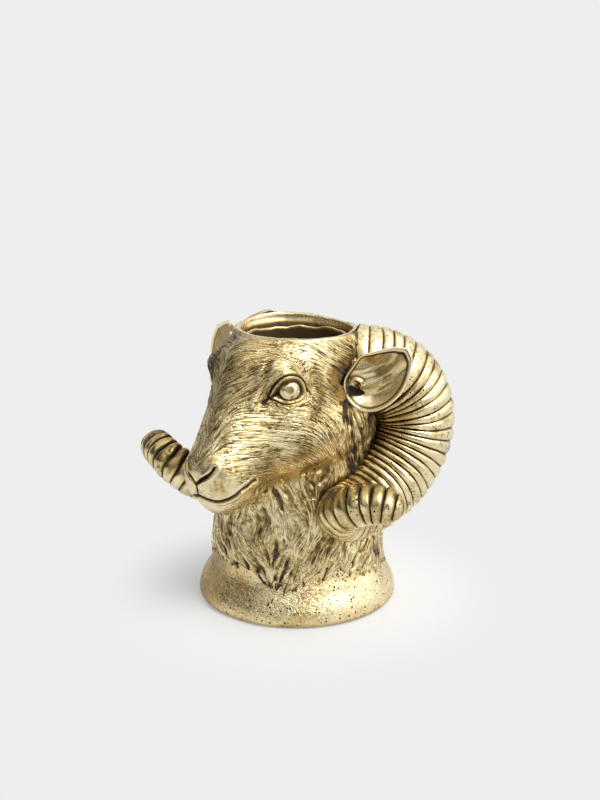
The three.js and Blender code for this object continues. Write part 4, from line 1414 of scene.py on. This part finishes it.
# %% Paint the wash
wash_and_shade, hair = np.zeros((2, len(points)))
to_left, to_back, height = points.T
groove_face = 0.12 * step(0, 2.0, -fine) + 0.2 * step(0.4, 2.2, -short)
groove_neck = 0.03 + 0.5 * step(0.2, 1.8, -locks) + 0.25 * step(0.0, 1.9, -hairs)
under_jaw = bump_at(edge_gap, 7, 6) * step(4, -8, y)
shaded = np.clip(under_jaw + step(38, 24, z) * step(60, 20, off_tuft), 0, 1)
stains = step(0.1, 0.7, noise(p, 5.5, 85) + 0.5 * noise(p, 2.2, 86)) * step(0.8, -0.6, locks)
# Painted shade strengthens the stains under the jaw and low on the neck at the longest tuft.
groove_neck += (0.05 + 0.5 * shaded) * stains
groove_neck *= (1 - 0.4 * calm) * (0.7 + 0.7 * step(-0.4, 0.5, noise(p, 15, 87)))
patches = noise(p, 6.5, 81) + 0.6 * noise(p, 2.6, 82)
wash_and_shade[hairy] = face * groove_face * clear + (1 - face) * groove_neck
wash_and_shade[hairy] += face * clear * 0.3 * step(0.35, 0.95, patches) * step(-0.6, 0.9, -short)
near = folded(points)
eye_ring = np.linalg.norm(near - EYE, axis=1)
ear_root = np.linalg.norm(near - [40, -7, 138], axis=1)
horn_root = np.linalg.norm((near - [36, 12, 146]) * [1, 1, 0.8], axis=1)
# Painted shade round the eyes, the ears' roots and the horns' roots.
wash_and_shade += 0.2 * step(16, 9, eye_ring) + 0.42 * step(17, 9, ear_root)
wash_and_shade += 0.2 * step(26, 18, horn_root)
wash_and_shade = np.maximum(wash_and_shade, np.maximum(lid_lines_and_shade, face_lines_and_shade))
wash_and_shade += 0.3 * face_lines_and_shade + hem_shade
# The forehead is darkened a little, and the far cheek, turned from the key sun, gets painted shade.
forehead = step(122, 134, height) * step(-22, -32, to_back) * step(22, 10, to_left)
far_cheek = step(-2, -14, to_left) * step(-10, -22, to_back) * step(84, 96, height)
wash_and_shade += (0.16 * forehead + 0.22 * far_cheek) * (1 - inner_wall)
# Painted shade in the gap beside each horn.
wash_and_shade[hairy] += 0.9 * step(0.25, 0.8, beside_horn) * step(43, 46, aside)
# Painted shade in a strip in front of each horn, deepest in the grooves.
strip = bump_at(y, -6, 11) * bump_at(z, 106, 17) * step(22, 30, aside)
wash_and_shade[hairy] += strip * (0.12 + 0.45 * step(0.1, 1.6, -locks) + 0.25 * step(0.2, 1.6, -hairs))
# Painted shade where the skin lies close to a horn, less high up.
beside = np.flatnonzero((np.abs(to_left) > 22) & (height > 55) & (to_back > -45))
shade_beside_horn = step(4.5, 0.8, to_horn(points[beside]))
wash_and_shade[beside] += (0.7 - 0.4 * step(128, 136, height[beside])) * shade_beside_horn
# The mouth's inner wall below the rolled rim is painted nearly black as painted shade.
below_roll = 0.95 * step(160.5, 158, height - 0.7 * rim_lift)
wash_and_shade = between(wash_and_shade, below_roll, inner_wall)
amber += 0.8 * step(17, 8, ear_root) * step(0.0, 0.5, noise(points, 5, 83)) + 0.15 * inner_wall
amber[hairy] *= 1 - 0.7 * strip
store(head_mesh, "wash_and_shade", wash_and_shade)
store(head_mesh, "tint", amber * (0.65 + 0.35 * noise(points, 4, 84)))
hair[hairy] = (0.85 * face * clear + 0.52 * (1 - face)) * (0.35 + 0.65 * near_rim)
hair *= 1 - inner_wall
store(head_mesh, "hair", hair)
way = np.zeros((len(points), 3))
way[hairy] = lie_of_coat(points[hairy])
way = unit(way - skin_slope * (way * skin_slope).sum(1)[:, None])
store_vectors(head_mesh, "lie", way)
print("wash: mean %.2f" % wash_and_shade[hairy].mean())

# %% [markdown]
# ## Head and neck: the pieces
# The carved skin is one surface. It is handed over in pieces that a maker would name: the
# muzzle, the brow with the cheeks, the crown with the mouth's rim, the throat and the nape.
# Each keeps the normals of the whole skin, so no seam shows where two pieces meet.

# %% Take the skin apart
head_mesh.materials.append(fur_gold)
store_vectors(head_mesh, "skin_normal", normals_of(head_mesh))
middles = vectors_in(head_mesh.polygons, "center") / MM
ZONES = ["muzzle", "brow_and_cheeks", "crown_and_rim", "throat_fleece", "nape_fleece"]
face_zone = np.where(middles[:, 1] < -52, 0, 1)
neck_zone = np.where(middles[:, 1] < 0, 3, 4)
zone = np.where(face_share(middles) > 0.5, face_zone, np.where(middles[:, 2] > 112, 2, neck_zone))


def take_zone(name, number):
    mesh = head_mesh.copy()
    mesh.name = name
    shape = shape_of(mesh)
    shape.faces.ensure_lookup_table()
    others = [shape.faces[i] for i in np.flatnonzero(zone != number)]
    bmesh.ops.delete(shape, geom=others, context="FACES")
    to_mesh(shape, mesh)
    new_piece(name, mesh, ["head_and_neck"])
    whole = vectors_in(mesh.attributes["skin_normal"].data, "vector")
    mesh.normals_split_custom_set_from_vertices(whole)
    mesh.attributes.remove(mesh.attributes["skin_normal"])


for number, name in enumerate(ZONES):
    take_zone(name, number)
bpy.data.meshes.remove(head_mesh)
